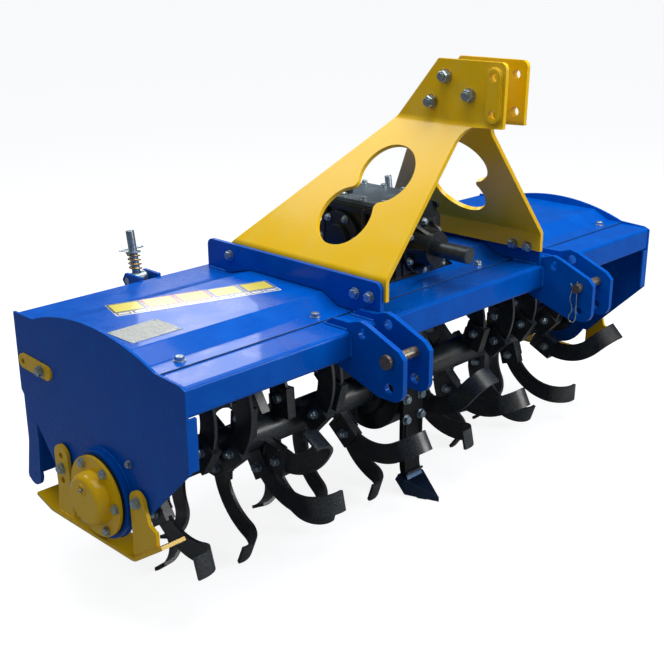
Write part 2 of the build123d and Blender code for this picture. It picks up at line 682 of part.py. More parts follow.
# Skid: sole with both ends turned up and two bolted legs.
with BuildPart() as skid:
    with BuildSketch(side_view(SOLE_INNER_X)):
        with BuildLine():
            FilletPolyline((-200, -38), (-104, SOLE_Z), (196, SOLE_Z), (252, -86), radius=30)
            offset(amount=SOLE_T, side=Side.RIGHT)
        make_face()
    extrude(amount=SOLE_OUTER_X - SOLE_INNER_X)
    with BuildSketch(side_view(SKID_LEG_X)):
        with BuildLine():
            ThreePointArc((123, 34), (148, 59), (173, 34))
            Polyline((173, 34), (169, -44), (176, SOLE_Z), (116, SOLE_Z), (118, -28), (123, 34))
        make_face()
        with Locations((148, 35), (148, 6), (148, -22)):
            Circle(SKID_HOLE_R, mode=Mode.SUBTRACT)
    extrude(amount=SKID_LEG_T)
    with BuildSketch(side_view(SKID_LEG_X)):
        with BuildLine():
            ThreePointArc((-145, 24), (-121, 48), (-97, 24))
            Polyline((-97, 24), (-99, -60), (-97, SOLE_Z), (-104, SOLE_Z), (-178, -53))
            Polyline((-178, -53), (-178, -22), (-156, -12), (-145, 24))
        make_face()
        with Locations((-121, 24)):
            Circle(SKID_HOLE_R, mode=Mode.SUBTRACT)
    extrude(amount=SKID_LEG_T)
write_pair(skid.part, "skid")

# Skid washers: the packing that stands each leg off its end plate.
with BuildPart() as skid_washers:
    for bolt_y, bolt_z in ((148, 6), (-121, 24)):
        with BuildSketch(side_view(PLATE_X)):
            with Locations((bolt_y, bolt_z)):
                Circle(14)
                Circle(SKID_HOLE_R, mode=Mode.SUBTRACT)
        extrude(amount=SKID_LEG_X - PLATE_X)
write_pair(skid_washers.part, "skid_washers")

# Strap link on each end plate near its rear edge.
with BuildPart() as strap:
    with BuildSketch(side_view(PLATE_X)):
        with Locations((232, 210)):
            SlotCenterToCenter(92, 32, rotation=3)
        with Locations((276, 212)):
            Circle(6, mode=Mode.SUBTRACT)
    extrude(amount=6)
write_pair(strap.part, "strap_link")

# Trailing board: sheet, side flanges, hinge knuckles and the adjusters' lugs.
with BuildPart() as board:
    with BuildSketch(side_view(-BOARD_SIDE_X)):
        with BuildLine():
            FilletPolyline((BOARD_REAR_Y, BOARD_TOP_Z), (BOARD_REAR_Y, 10), (336, BOARD_TAIL_Z), radius=120)
            offset(amount=BOARD_T, side=Side.RIGHT)
        make_face()
    extrude(amount=2 * BOARD_SIDE_X)
    for flange_x in (-BOARD_SIDE_X, BOARD_SIDE_X - BOARD_SIDE_T):
        with BuildSketch(side_view(flange_x)):
            with BuildLine():
                Polyline((BOARD_REAR_Y, BOARD_TOP_Z), (280, BOARD_TOP_Z), (276, 20), (284, -60))
                ThreePointArc((284, -60), (312, -98), (337, -80))
                Polyline((337, -80), (BOARD_REAR_Y, 10), (BOARD_REAR_Y, BOARD_TOP_Z))
            make_face()
        extrude(amount=BOARD_SIDE_T)
    for knuckle_x in (-600, 0, 600):
        with BuildSketch(side_view(knuckle_x - KNUCKLE_HALF)):
            with Locations((HINGE_Y, HINGE_Z)):
                Circle(KNUCKLE_R)
            with Locations((BOARD_REAR_Y, BOARD_TOP_Z)):
                Rectangle(BOARD_T, HINGE_Z - BOARD_TOP_Z, align=(Align.MAX, Align.MIN))
            with Locations((HINGE_Y, HINGE_Z)):
                Circle(HINGE_ROD_R + HINGE_GAP, mode=Mode.SUBTRACT)
        extrude(amount=2 * KNUCKLE_HALF)
    for adjuster_x in (-ADJUSTER_X, ADJUSTER_X):
        for lug_x in (adjuster_x - EAR_T - 12, adjuster_x + 12):
            with BuildSketch(side_view(lug_x)):
                with Locations((EYE_Y, EYE_Z)):
                    Circle(13)
                with Locations((BOARD_REAR_Y, EYE_Z)):
                    Rectangle(EYE_Y - BOARD_REAR_Y, 26, align=(Align.MIN, Align.CENTER))
            extrude(amount=EAR_T)
        with BuildSketch(side_view(adjuster_x - 12)):
            with Locations((EYE_Y, EYE_Z)):
                Circle(EYE_PIN_R)
        extrude(amount=24)
write(board.part, "trailing_board")

# Adjusters: bracket, swivel, rod and spring, one set on each side.
rod_lean = atan2(SWIVEL_Y - EYE_Y, SWIVEL_Z - EYE_Z)
rod_up = Vector(0, sin(rod_lean), cos(rod_lean))
eye_depth = hypot(SWIVEL_Y - EYE_Y, SWIVEL_Z - EYE_Z)
swivel_point = Vector(ADJUSTER_X, AXIS_Y + SWIVEL_Y, AXIS_Z + SWIVEL_Z)


def rod_plane(height):
    """Plane across an adjuster's rod at a height along it from the swivel."""
    return Plane(origin=swivel_point + rod_up * height, x_dir=(1, 0, 0), z_dir=rod_up)


with BuildPart() as adjuster_bracket:
    for ear_x in (ADJUSTER_X - EAR_GAP / 2 - EAR_T, ADJUSTER_X + EAR_GAP / 2):
        with BuildSketch(side_view(ear_x)):
            with BuildLine():
                Polyline((RAIL_REAR_Y, 282), (320, 282), (328, 285), (366, 284), (378, 300))
                Polyline((378, 300), (366, 318), (PLATE_REAR_Y, 318), (PLATE_REAR_Y, 305))
                Polyline((PLATE_REAR_Y, 305), (RAIL_REAR_Y, 305), (RAIL_REAR_Y, 282))
            make_face()
            with Locations((HINGE_Y, HINGE_Z)):
                Circle(HINGE_ROD_R + HINGE_GAP, mode=Mode.SUBTRACT)
            with Locations((SWIVEL_Y, SWIVEL_Z)):
                Circle(SWIVEL_PIN_R + HINGE_GAP, mode=Mode.SUBTRACT)
        extrude(amount=EAR_T)
write_pair(adjuster_bracket.part, "adjuster_bracket")

with BuildPart() as swivel:
    for half_length, radius in ((EAR_GAP / 2 - 1, SWIVEL_R), (EAR_GAP / 2 + EAR_T, SWIVEL_PIN_R)):
        with BuildSketch(side_view(ADJUSTER_X)):
            with Locations((SWIVEL_Y, SWIVEL_Z)):
                Circle(radius)
        extrude(amount=half_length, both=True)
    with BuildSketch(rod_plane(0)):
        Circle(ROD_R + ROD_GAP)
    extrude(amount=2 * SWIVEL_R, both=True, mode=Mode.SUBTRACT)
write_pair(swivel.part, "adjuster_swivel")

with BuildPart() as rod:
    with BuildSketch(rod_plane(-eye_depth)):
        Circle(ROD_R)
    extrude(amount=eye_depth + ROD_ABOVE)
    with BuildSketch(side_view(ADJUSTER_X)):
        with Locations((EYE_Y, EYE_Z)):
            Circle(EYE_R + 3.5)
    extrude(amount=9, both=True)
    with BuildSketch(side_view(ADJUSTER_X)):
        with Locations((EYE_Y, EYE_Z)):
            Circle(EYE_R)
    extrude(amount=20, both=True, mode=Mode.SUBTRACT)
    with BuildSketch(rod_plane(62)):
        Circle(SPRING_R + 4)
    extrude(amount=3)
write_pair(rod.part, "adjuster_rod")

with BuildPart() as spring:
    spring_plane = rod_plane(SWIVEL_R + 2 + SPRING_WIRE_R)
    spring_height = 62 - SWIVEL_R - 2 - 2 * SPRING_WIRE_R
    with BuildLine(spring_plane):
        coil = Helix(
            pitch=spring_height / SPRING_TURNS,
            height=spring_height,
            radius=SPRING_R,
            center=spring_plane.origin,
            direction=spring_plane.z_dir,
        )
    with BuildSketch(Plane(origin=coil @ 0, z_dir=coil % 0)):
        Circle(SPRING_WIRE_R)
    sweep()
write_pair(spring.part, "adjuster_spring")
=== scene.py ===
import math

import bmesh
import bpy
from mathutils import Matrix, Vector


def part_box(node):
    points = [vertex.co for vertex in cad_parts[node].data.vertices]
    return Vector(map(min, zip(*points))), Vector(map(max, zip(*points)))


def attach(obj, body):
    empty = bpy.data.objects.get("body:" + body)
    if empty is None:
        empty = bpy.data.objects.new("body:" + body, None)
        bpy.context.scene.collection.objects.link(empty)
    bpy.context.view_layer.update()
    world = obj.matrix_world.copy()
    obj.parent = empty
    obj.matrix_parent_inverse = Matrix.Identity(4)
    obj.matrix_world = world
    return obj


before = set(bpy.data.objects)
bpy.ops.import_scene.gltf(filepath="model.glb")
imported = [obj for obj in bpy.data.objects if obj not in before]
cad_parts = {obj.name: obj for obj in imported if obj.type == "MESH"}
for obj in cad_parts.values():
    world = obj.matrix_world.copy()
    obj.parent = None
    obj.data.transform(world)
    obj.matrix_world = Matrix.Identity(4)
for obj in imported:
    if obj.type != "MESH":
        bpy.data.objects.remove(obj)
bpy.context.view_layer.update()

# -----------------------------------------------------------------------------
# Where things are. The rotor's axis is the machine's datum: its end bearings give its height and
# its place along Y, and every place below is written in millimetres from that axis.
# -----------------------------------------------------------------------------
bearing_low, bearing_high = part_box("bearing_cap_left")
AXIS = (bearing_low + bearing_high) / 2


def at(x, y, z):
    """A point given in millimetres from the rotor's axis and the machine's middle."""
    return Vector((x / 1000, AXIS.y + y / 1000, AXIS.z + z / 1000))


def turned(angle, radius, x):
    """A point at a radius in millimetres from the rotor's axis, its angle counted from straight back."""
    return at(x, radius * math.cos(math.radians(angle)), radius * math.sin(math.radians(angle)))


# -----------------------------------------------------------------------------
# Paint on fabricated steel: two-pack enamel, sprayed over cut and welded plate. It is glossy with
# a faint orange peel, it dulls in patches with dust, and it is thin and pale on the cut edges, with a
# painted highlight along them.
# -----------------------------------------------------------------------------
def srgb(text):
    """A #rrggbb colour as the linear values that a shader takes."""
    channels = [int(text[i : i + 2], 16) / 255 for i in (1, 3, 5)]
    return [c / 12.92 if c <= 0.04045 else ((c + 0.055) / 1.055) ** 2.4 for c in channels] + [1]


def add_node(tree, kind, links=None, values=None, **settings):
    """Adds a node: settings are its properties, values its sockets' values, links what feeds them."""
    node = tree.nodes.new(kind)
    for name, value in settings.items():
        setattr(node, name, value)
    for socket, value in (values or {}).items():
        node.inputs[socket].default_value = value
    for socket, source in (links or {}).items():
        tree.links.new(source, node.inputs[socket])
    return node


def start_material(name):
    """An empty material with its surface shader, its tree and its object coordinates."""
    material = bpy.data.materials.new(name)
    material.use_nodes = True
    tree = material.node_tree
    tree.nodes.clear()
    output = add_node(tree, "ShaderNodeOutputMaterial")
    shader = add_node(tree, "ShaderNodeBsdfPrincipled")
    tree.links.new(shader.outputs[0], output.inputs["Surface"])
    place = add_node(tree, "ShaderNodeTexCoord").outputs["Object"]
    return material, tree, shader, place


def enamel(
    name,
    colour,
    dusty_and_sheen,
    worn_and_lit_edge,
    gloss=0.24,
    coat=0.7,
    coat_roughness=0.08,
    edge_wear_and_highlight=0.7,
    grain=380,
    relief=0.06,
    glint="#FFFFFF",
):
    """Sprayed paint: its colour clean, in dusty patches that on the yellow also paint a sheen, and on a worn
    edge that also carries a painted highlight. gloss is its least roughness.
    """
    material, tree, shader, place = start_material(name)
    # Dust and handling marks, which on the yellow paint also stand for a painted sheen: patches about 60 mm
    # across, broken up by finer ones.
    patches = add_node(
        tree, "ShaderNodeTexNoise", {"Vector": place}, {"Scale": 16, "Detail": 7, "Roughness": 0.62}
    ).outputs["Fac"]
    dust_and_sheen = add_node(
        tree, "ShaderNodeMapRange", {"Value": patches}, {"From Min": 0.48, "From Max": 0.80}
    ).outputs["Result"]
    base = add_node(
        tree, "ShaderNodeMix", {0: dust_and_sheen}, {6: srgb(colour), 7: srgb(dusty_and_sheen)}, data_type="RGBA"
    ).outputs[2]
    # The thin paint on a cut edge, and a painted highlight along it, show where a rounded normal leaves the
    # true one.
    rounded = add_node(tree, "ShaderNodeBevel", values={"Radius": 0.0016}, samples=4).outputs["Normal"]
    flat = add_node(tree, "ShaderNodeNewGeometry").outputs["True Normal"]
    agree = add_node(tree, "ShaderNodeVectorMath", {0: rounded, 1: flat}, operation="DOT_PRODUCT").outputs[1]
    edge_wear_and_highlight_mask = add_node(
        tree,
        "ShaderNodeMapRange",
        {"Value": agree},
        {"From Min": 0.995, "From Max": 0.80, "To Max": edge_wear_and_highlight},
    ).outputs["Result"]
    worn_and_highlit = add_node(
        tree, "ShaderNodeMix", {0: edge_wear_and_highlight_mask, 6: base}, {7: srgb(worn_and_lit_edge)}, data_type="RGBA"
    ).outputs[2]
    tree.links.new(worn_and_highlit, shader.inputs["Base Color"])
    dull = add_node(
        tree,
        "ShaderNodeMapRange",
        {"Value": patches},
        {"From Min": 0.35, "From Max": 0.8, "To Min": gloss, "To Max": gloss + 0.2},
    ).outputs["Result"]
    tree.links.new(dull, shader.inputs["Roughness"])
    # Orange peel, with ripples about 2.5 mm apart, or the coarser grain of a sand casting.
    peel = add_node(tree, "ShaderNodeTexNoise", {"Vector": place}, {"Scale": grain, "Detail": 2}).outputs[0]
    bump = add_node(
        tree, "ShaderNodeBump", {"Height": peel, "Normal": rounded}, {"Strength": relief, "Distance": 0.0006}
    ).outputs["Normal"]
    tree.links.new(bump, shader.inputs["Normal"])
    shader.inputs["Specular IOR Level"].default_value = 0.12
    shader.inputs["Specular Tint"].default_value = srgb(glint)
    shader.inputs["Coat Weight"].default_value = coat
    shader.inputs["Coat Roughness"].default_value = coat_roughness
    return material


def paint(finish, *names):
    """Gives CAD pieces their finish. A name that ends in * stands for the left and the right piece."""
    for name in names:
        for side in ("left", "right") if name.endswith("*") else ("",):
            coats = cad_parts[name.replace("*", side)].data.materials
            coats.clear()
            coats.append(finish)


# The third colour of each is its edge: thin, worn paint that also carries a painted highlight.
blue_enamel = enamel(
    "blue_enamel", "#004EAE", "#005ABC", "#1480EA", coat=0.17, coat_roughness=0.06, glint="#3A8CF0"
)
# The yellow's pale dusty colour is partly dust and partly a painted sheen.
yellow_enamel = enamel(
    "yellow_enamel", "#E9B908", "#E8C03C", "#F6CC20", gloss=0.32, coat=0.5, coat_roughness=0.16
)
paint(blue_enamel, "end_plate_*", "front_beam", "hood", "rear_rail", "trailing_board")

# -----------------------------------------------------------------------------
# Weld beads: fillet welds run by hand along the joints, then painted with the piece. A bead is a
# rippled round strand, about 6 mm wide, half sunk in the corner that it fills.
# -----------------------------------------------------------------------------
def new_tree(name, sockets):
    """An empty Geometry Nodes tree, its named inputs and the socket that takes its result."""
    tree = bpy.data.node_groups.new(name, "GeometryNodeTree")
    tree.interface.new_socket("Geometry", in_out="OUTPUT", socket_type="NodeSocketGeometry")
    for socket_name, kind in {"Geometry": "Geometry", **sockets}.items():
        tree.interface.new_socket(socket_name, in_out="INPUT", socket_type=f"NodeSocket{kind}")
    given = add_node(tree, "NodeGroupInput").outputs
    result = add_node(tree, "NodeGroupOutput").inputs[0]
    return tree, given, result


def plain_mesh(seed):
    """The plain mesh that a seed object's curve or nodes make. The seed itself is thrown away."""
    bpy.context.scene.collection.objects.link(seed)
    depsgraph = bpy.context.evaluated_depsgraph_get()
    mesh = bpy.data.meshes.new_from_object(seed.evaluated_get(depsgraph))
    bpy.data.objects.remove(seed)
    return mesh


def add_piece(name, mesh, body, finish=None):
    """Makes a mesh a piece of the machine, which rides on a body."""
    mesh.name = name
    if finish:
        mesh.materials.clear()
        mesh.materials.append(finish)
    piece = bpy.data.objects.new(name, mesh)
    bpy.context.scene.collection.objects.link(piece)
    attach(piece, body)


def grow(name, base, tree, values, body):
    """Runs a Geometry Nodes tree on a base mesh and makes its result a piece."""
    seed = bpy.data.objects.new(f"{name}_seed", base)
    modifier = seed.modifiers.new("tree", "NODES")
    modifier.node_group = tree
    for item in tree.interface.items_tree:
        if item.in_out == "INPUT" and item.name in values:
            modifier[item.identifier] = values[item.name]
    add_piece(name, plain_mesh(seed), body)


RIPPLE_RINGS = 0.34  # distance between a bead's rings, as a share of its ripple
RIPPLE_SWELL = 0.16  # swell of a ripple, as a share of the bead's radius
bead_tree, given, result = new_tree(
    "weld_bead",
    {"Bead Radius": "Float", "Ring Spacing": "Float", "Ripple Rate": "Float", "Finish": "Material"},
)
strand = add_node(bead_tree, "GeometryNodeMeshToCurve", {0: given["Geometry"]}).outputs[0]
ringed = add_node(
    bead_tree,
    "GeometryNodeResampleCurve",
    {"Curve": strand, "Length": given["Ring Spacing"]},
    mode="LENGTH",
).outputs[0]
run = add_node(bead_tree, "GeometryNodeSplineParameter").outputs["Length"]
phase = add_node(
    bead_tree, "ShaderNodeMath", {0: run, 1: given["Ripple Rate"]}, operation="MULTIPLY"
).outputs[0]
wave = add_node(bead_tree, "ShaderNodeMath", {0: phase}, operation="SINE").outputs[0]
ripple = add_node(
    bead_tree, "ShaderNodeMath", {0: wave}, {1: RIPPLE_SWELL, 2: 1.0}, operation="MULTIPLY_ADD"
).outputs[0]
profile = add_node(
    bead_tree, "GeometryNodeCurvePrimitiveCircle", {"Radius": given["Bead Radius"]}, {"Resolution": 8}
).outputs[0]
bead = add_node(
    bead_tree,
    "GeometryNodeCurveToMesh",
    {"Curve": ringed, "Profile Curve": profile, "Scale": ripple},
    {"Fill Caps": True},
).outputs[0]
solid = add_node(bead_tree, "GeometryNodeRealizeInstances", {0: bead}).outputs[0]
painted = add_node(
    bead_tree, "GeometryNodeSetMaterial", {"Geometry": solid, "Material": given["Finish"]}
).outputs[0]
bead_tree.links.new(painted, result)


def beads(name, runs, radius, finish, body="frame", pitch=5.0):
    """Beads along runs of points, their radius and the pitch of their ripples in millimetres."""
    points = []
    edges = []
    for run in runs:
        start = len(points)
        points += run
        edges += [(i, i + 1) for i in range(start, len(points) - 1)]
    base = bpy.data.meshes.new(f"{name}_runs")
    base.from_pydata(points, edges, [])
    values = {
        "Bead Radius": radius / 1000,
        "Ring Spacing": RIPPLE_RINGS * pitch / 1000,
        "Ripple Rate": math.tau * 1000 / pitch,
        "Finish": finish,
    }
    grow(name, base, bead_tree, values, body)


def mirrored(runs):
    """The given runs of points with their mirror images on the machine's right."""
    return runs + [[Vector((-p.x, p.y, p.z)) for p in run] for run in runs]


END_PLATE_IN_X = 806
END_PLATE_OUT_X = 812
BEAM_FRONT_Y = -276
BEAM_TOP_Z = 303
BEAM_LOW_Z = 241
BRACKET_IN_X = 284
BRACKET_OUT_X = 294
CLEVIS_FACES_X = (296, 308, 375, 387)
BEARING_RING_R = 95
body_seams = []
for x in CLEVIS_FACES_X:
    front_y = BEAM_FRONT_Y - 1
    top_z = BEAM_TOP_Z + 1
    body_seams.append([at(x, front_y, BEAM_LOW_Z + 8), at(x, front_y, BEAM_TOP_Z - 8)])
    body_seams.append([at(x, BEAM_FRONT_Y + 8, top_z), at(x, -202, top_z)])
for x in (BRACKET_OUT_X + 0.5, BRACKET_IN_X - 0.5):
    body_seams.append([at(x, -265, BEAM_TOP_Z + 1.5), at(x, -196, BEAM_TOP_Z + 1.5)])
body_seams.append([at(BRACKET_OUT_X + 0.5, y, 311) for y in (222, 286)])
body_seams.append([at(END_PLATE_IN_X, -268, z) for z in (BEAM_LOW_Z + 1, BEAM_TOP_Z - 3)])
beads("body_welds", mirrored(body_seams), 3.0, blue_enamel)
ring_run = [turned(angle, BEARING_RING_R, END_PLATE_OUT_X + 1) for angle in range(0, 361, 10)]
beads("bearing_ring_welds", mirrored([ring_run]), 2.5, blue_enamel)

# -----------------------------------------------------------------------------
# Sealant: a black polyurethane seam, pressed by hand into the step between hood and beam and into
# the open joint under each mast bracket. It is soft and nearly matt.
# -----------------------------------------------------------------------------
def rubber(name, dark, light, roughness, grain, detail, relief, depth):
    """A black rubber: grain is how many lumps fill a metre, depth their height in metres."""
    material, tree, shader, place = start_material(name)
    lumps = add_node(
        tree, "ShaderNodeTexNoise", {"Vector": place}, {"Scale": grain, "Detail": detail}
    ).outputs["Fac"]
    tone = add_node(
        tree, "ShaderNodeMix", {0: lumps}, {6: srgb(dark), 7: srgb(light)}, data_type="RGBA"
    ).outputs[2]
    tree.links.new(tone, shader.inputs["Base Color"])
    shader.inputs["Roughness"].default_value = roughness
    bump = add_node(
        tree, "ShaderNodeBump", {"Height": lumps}, {"Strength": relief, "Distance": depth}
    ).outputs["Normal"]
    tree.links.new(bump, shader.inputs["Normal"])
    return material


# Lumps about 4 mm across, as a finger leaves them.
seam_sealant = rubber("black_seam_sealant", "#08090B", "#1C2024", 0.55, 260, 4, 0.3, 0.0008)
HOOD_STEP_Y = -192.5
HOOD_STEP_Z = 304.5
BRACKET_SEAM_YZ = ((-193, 306), (-150, 308), (-104, 331), (134, 331), (205, 311))
seam_runs = [[at(x, HOOD_STEP_Y, HOOD_STEP_Z) for x in ends] for ends in ((4, 294), (300, 804))]
seam_runs.append([at(289, y, z) for y, z in BRACKET_SEAM_YZ])
beads("hood_seams", mirrored(seam_runs), 1.2, seam_sealant, pitch=9.0)

# -----------------------------------------------------------------------------
# Bolts and nuts: hexagon heads on washers, pressed from steel bar and zinc plated bluish white. The
# washers under the mast's nuts are plated yellow.
# -----------------------------------------------------------------------------
def plated(name, colour, tarnish, roughness):
    """Plated steel: the plating is clouded in spots about 5 mm across, and dull where it is dark."""
    material, tree, shader, place = start_material(name)
    cloud = add_node(
        tree, "ShaderNodeTexNoise", {"Vector": place}, {"Scale": 180, "Detail": 5, "Roughness": 0.7}
    ).outputs["Fac"]
    tint = add_node(
        tree, "ShaderNodeMapRange", {"Value": cloud}, {"From Min": 0.42, "From Max": 0.68}
    ).outputs["Result"]
    plating = add_node(
        tree, "ShaderNodeMix", {0: tint}, {6: srgb(colour), 7: srgb(tarnish)}, data_type="RGBA"
    ).outputs[2]
    tree.links.new(plating, shader.inputs["Base Color"])
    shader.inputs["Metallic"].default_value = 0.9
    rough = add_node(
        tree,
        "ShaderNodeMapRange",
        {"Value": cloud},
        {"From Min": 0.3, "From Max": 0.7, "To Min": roughness, "To Max": roughness + 0.18},
    ).outputs["Result"]
    tree.links.new(rough, shader.inputs["Roughness"])
    rounded = add_node(tree, "ShaderNodeBevel", values={"Radius": 0.0009}, samples=4).outputs["Normal"]
    grain = add_node(
        tree, "ShaderNodeBump", {"Height": cloud, "Normal": rounded}, {"Strength": 0.12, "Distance": 0.0004}
    ).outputs["Normal"]
    tree.links.new(grain, shader.inputs["Normal"])
    return material


zinc_plate = plated("zinc_plate", "#B9C9D2", "#8397A2", 0.26)
yellow_zinc = plated("yellow_zinc_plate", "#D8C07A", "#B58E4C", 0.30)

# A head is a prism with a crown, a short cone that rounds its corners off.
CORNER_SHARE = 0.5774  # a hexagon's corner radius, as a share of its size across flats
CROWN_SHARE = 0.48
PRISM_SHARE = 0.82  # a prism's height, as a share of its head's
SIXTH_TURN = 1.05
BOLT_SIDES = {"Prism": 6, "Thread": 12, "Washer": 20}
bolt_sockets = {"Turn Seed": "Int", "Finish": "Material", "Washer Finish": "Material"}
for shape in ("Prism", "Crown", "Thread", "Washer"):
    bolt_sockets.update({f"{shape} Radius": "Float", f"{shape} Height": "Float", f"{shape} Place": "Vector"})
bolt_tree, given, result = new_tree("hex_bolt", bolt_sockets)
shapes = {}
for shape, sides in BOLT_SIDES.items():
    shapes[shape] = add_node(
        bolt_tree,
        "GeometryNodeMeshCylinder",
        {"Radius": given[f"{shape} Radius"], "Depth": given[f"{shape} Height"]},
        {"Vertices": sides},
    ).outputs["Mesh"]
shapes["Crown"] = add_node(
    bolt_tree,
    "GeometryNodeMeshCone",
    {
        "Radius Bottom": given["Prism Radius"],
        "Radius Top": given["Crown Radius"],
        "Depth": given["Crown Height"],
    },
    {"Vertices": BOLT_SIDES["Prism"]},
).outputs["Mesh"]
for shape, geometry in shapes.items():
    shapes[shape] = add_node(
        bolt_tree, "GeometryNodeTransform", {"Geometry": geometry, "Translation": given[f"{shape} Place"]}
    ).outputs[0]
head = add_node(bolt_tree, "GeometryNodeJoinGeometry")
for shape in ("Prism", "Crown", "Thread"):
    bolt_tree.links.new(shapes[shape], head.inputs[0])
facing = add_node(
    bolt_tree, "GeometryNodeInputNamedAttribute", values={"Name": "facing"}, data_type="FLOAT_VECTOR"
).outputs["Attribute"]
stand = add_node(bolt_tree, "FunctionNodeAlignRotationToVector", {"Vector": facing}, axis="Z").outputs[0]
angle = add_node(
    bolt_tree,
    "FunctionNodeRandomValue",
    {"Seed": given["Turn Seed"]},
    {2: 0.0, 3: SIXTH_TURN},
    data_type="FLOAT",
).outputs[1]
spin = add_node(
    bolt_tree, "FunctionNodeAxisAngleToRotation", {"Angle": angle}, {"Axis": (0, 0, 1)}
).outputs[0]
pose = add_node(
    bolt_tree, "FunctionNodeRotateRotation", {"Rotation": stand, "Rotate By": spin}, rotation_space="LOCAL"
).outputs[0]
everything = add_node(bolt_tree, "GeometryNodeJoinGeometry")
for geometry, finish in ((head.outputs[0], "Finish"), (shapes["Washer"], "Washer Finish")):
    placed = add_node(
        bolt_tree,
        "GeometryNodeInstanceOnPoints",
        {"Points": given["Geometry"], "Instance": geometry, "Rotation": pose},
    ).outputs[0]
    realized = add_node(bolt_tree, "GeometryNodeRealizeInstances", {0: placed}).outputs[0]
    coated = add_node(
        bolt_tree, "GeometryNodeSetMaterial", {"Geometry": realized, "Material": given[finish]}
    ).outputs[0]
    bolt_tree.links.new(coated, everything.inputs[0])
bolt_tree.links.new(everything.outputs[0], result)


def bolts(
    name,
    rows,
    flats,
    height,
    washer_radius,
    washer_height=2.0,
    thread=(4.0, 0.3),
    washers=zinc_plate,
    body="frame",
):
    """Hexagons on washers: rows of a point and the way that each faces. thread is its radius and rise."""
    base = bpy.data.meshes.new(f"{name}_points")
    base.from_pydata([point for point, way in rows], [], [])
    facings = base.attributes.new("facing", "FLOAT_VECTOR", "POINT")
    for item, (point, way) in zip(facings.data, rows):
        item.vector = way
    prism_height = PRISM_SHARE * height
    crown_height = (1 - PRISM_SHARE) * height
    sizes = {
        "Prism": (CORNER_SHARE * flats, prism_height, washer_height + prism_height / 2),
        "Crown": (CROWN_SHARE * flats, crown_height, washer_height + prism_height),
        "Thread": (thread[0], thread[1], washer_height + height + thread[1] / 2),
        "Washer": (washer_radius, washer_height, washer_height / 2),
    }
    values = {"Turn Seed": len(rows), "Finish": zinc_plate, "Washer Finish": washers}
    for shape, (radius, depth, rise) in sizes.items():
        values[f"{shape} Radius"] = radius / 1000
        values[f"{shape} Height"] = depth / 1000
        values[f"{shape} Place"] = (0.0, 0.0, rise / 1000)
    grow(name, base, bolt_tree, values, body)


def both_sides(rows):
    """Rows of a point and a facing with their mirror images on the machine's right."""
    return rows + [(Vector((-p.x, p.y, p.z)), Vector((-w[0], w[1], w[2]))) for p, w in rows]


UP = Vector((0, 0, 1))
FORWARD = Vector((0, -1, 0))
LEFT = Vector((1, 0, 0))
MAST_PLATE_IN_X = 274
BRACKET_BOLTS_YZ = ((-201, 347), (-243, 347), (207, 354))
bracket_heads = [(at(BRACKET_OUT_X, y, z), LEFT) for y, z in BRACKET_BOLTS_YZ]
bracket_nuts = [(at(MAST_PLATE_IN_X, y, z), -LEFT) for y, z in BRACKET_BOLTS_YZ]
bolts("hood_bolts", both_sides([(at(x, -165, 306), UP) for x in (179, 378, 735)]), 17, 8, 12)
bolts("bracket_bolts", both_sides(bracket_heads), 19, 9, 13)
bolts("bracket_nuts", both_sides(bracket_nuts), 19, 10, 13, thread=(6, 5))

# -----------------------------------------------------------------------------
# Mast: two bent 10 mm plates, flame cut and sprayed yellow, bolted to the brackets and tied to each
# other at the top by three through bolts in tubes.
# -----------------------------------------------------------------------------
TIE_BOLTS_YZ = ((-228, 779), (-191, 723), (-293, 744))
TIE_NUT_X = 42
DOUBLER_Y = -356
DOUBLER_ENDS_Z = (785, 708)
DOUBLER_R = 18
paint(yellow_enamel, "mast_plate_*", "top_link_doubler_*", "strap_link_*")
paint(blue_enamel, "mast_bracket_*", "hitch_clevis_*", "adjuster_bracket_*")
paint(zinc_plate, "mast_spacers")
bolts(
    "mast_nuts",
    both_sides([(at(TIE_NUT_X, y, z), LEFT) for y, z in TIE_BOLTS_YZ]),
    24,
    13,
    16,
    washer_height=3,
    thread=(8, 6),
    washers=yellow_zinc,
)
doubler_weld = []
for end_z, first in zip(DOUBLER_ENDS_Z, (0, 180)):
    for k in range(first, first + 181, 15):
        turn = math.radians(k)
        y = DOUBLER_Y + DOUBLER_R * math.cos(turn)
        doubler_weld.append(at(TIE_NUT_X + 1, y, end_z + DOUBLER_R * math.sin(turn)))
doubler_weld.append(doubler_weld[0].copy())
beads("doubler_welds", mirrored([doubler_weld]), 2.2, yellow_enamel)

# -----------------------------------------------------------------------------
# Hitch pins: turned steel with a plain head, scuffed bright where a link ball has slid, and held
# on the inner side by a spring wire clip through a cross hole.
# -----------------------------------------------------------------------------
scuffed_steel, tree, shader, place = start_material("scuffed_turned_steel")
# Scratches run along the pin, about 12 mm long and 1 mm wide.
scratches_place = add_node(tree, "ShaderNodeMapping", {"Vector": place}, {"Scale": (6, 60, 60)}).outputs[0]
scratches = add_node(
    tree, "ShaderNodeTexNoise", {"Vector": scratches_place}, {"Scale": 14, "Detail": 8, "Roughness": 0.75}
).outputs["Fac"]
rubbed = add_node(
    tree, "ShaderNodeMapRange", {"Value": scratches}, {"From Min": 0.40, "From Max": 0.62}
).outputs["Result"]
steel_tone = add_node(
    tree, "ShaderNodeMix", {0: rubbed}, {6: srgb("#5B5148"), 7: srgb("#C9B7A2")}, data_type="RGBA"
).outputs[2]
tree.links.new(steel_tone, shader.inputs["Base Color"])
shader.inputs["Metallic"].default_value = 0.85
shader.inputs["Roughness"].default_value = 0.38
scuff_bump = add_node(
    tree, "ShaderNodeBump", {"Height": scratches}, {"Strength": 0.2, "Distance": 0.0004}
).outputs["Normal"]
tree.links.new(scuff_bump, shader.inputs["Normal"])
paint(scuffed_steel, "hitch_pin_*")


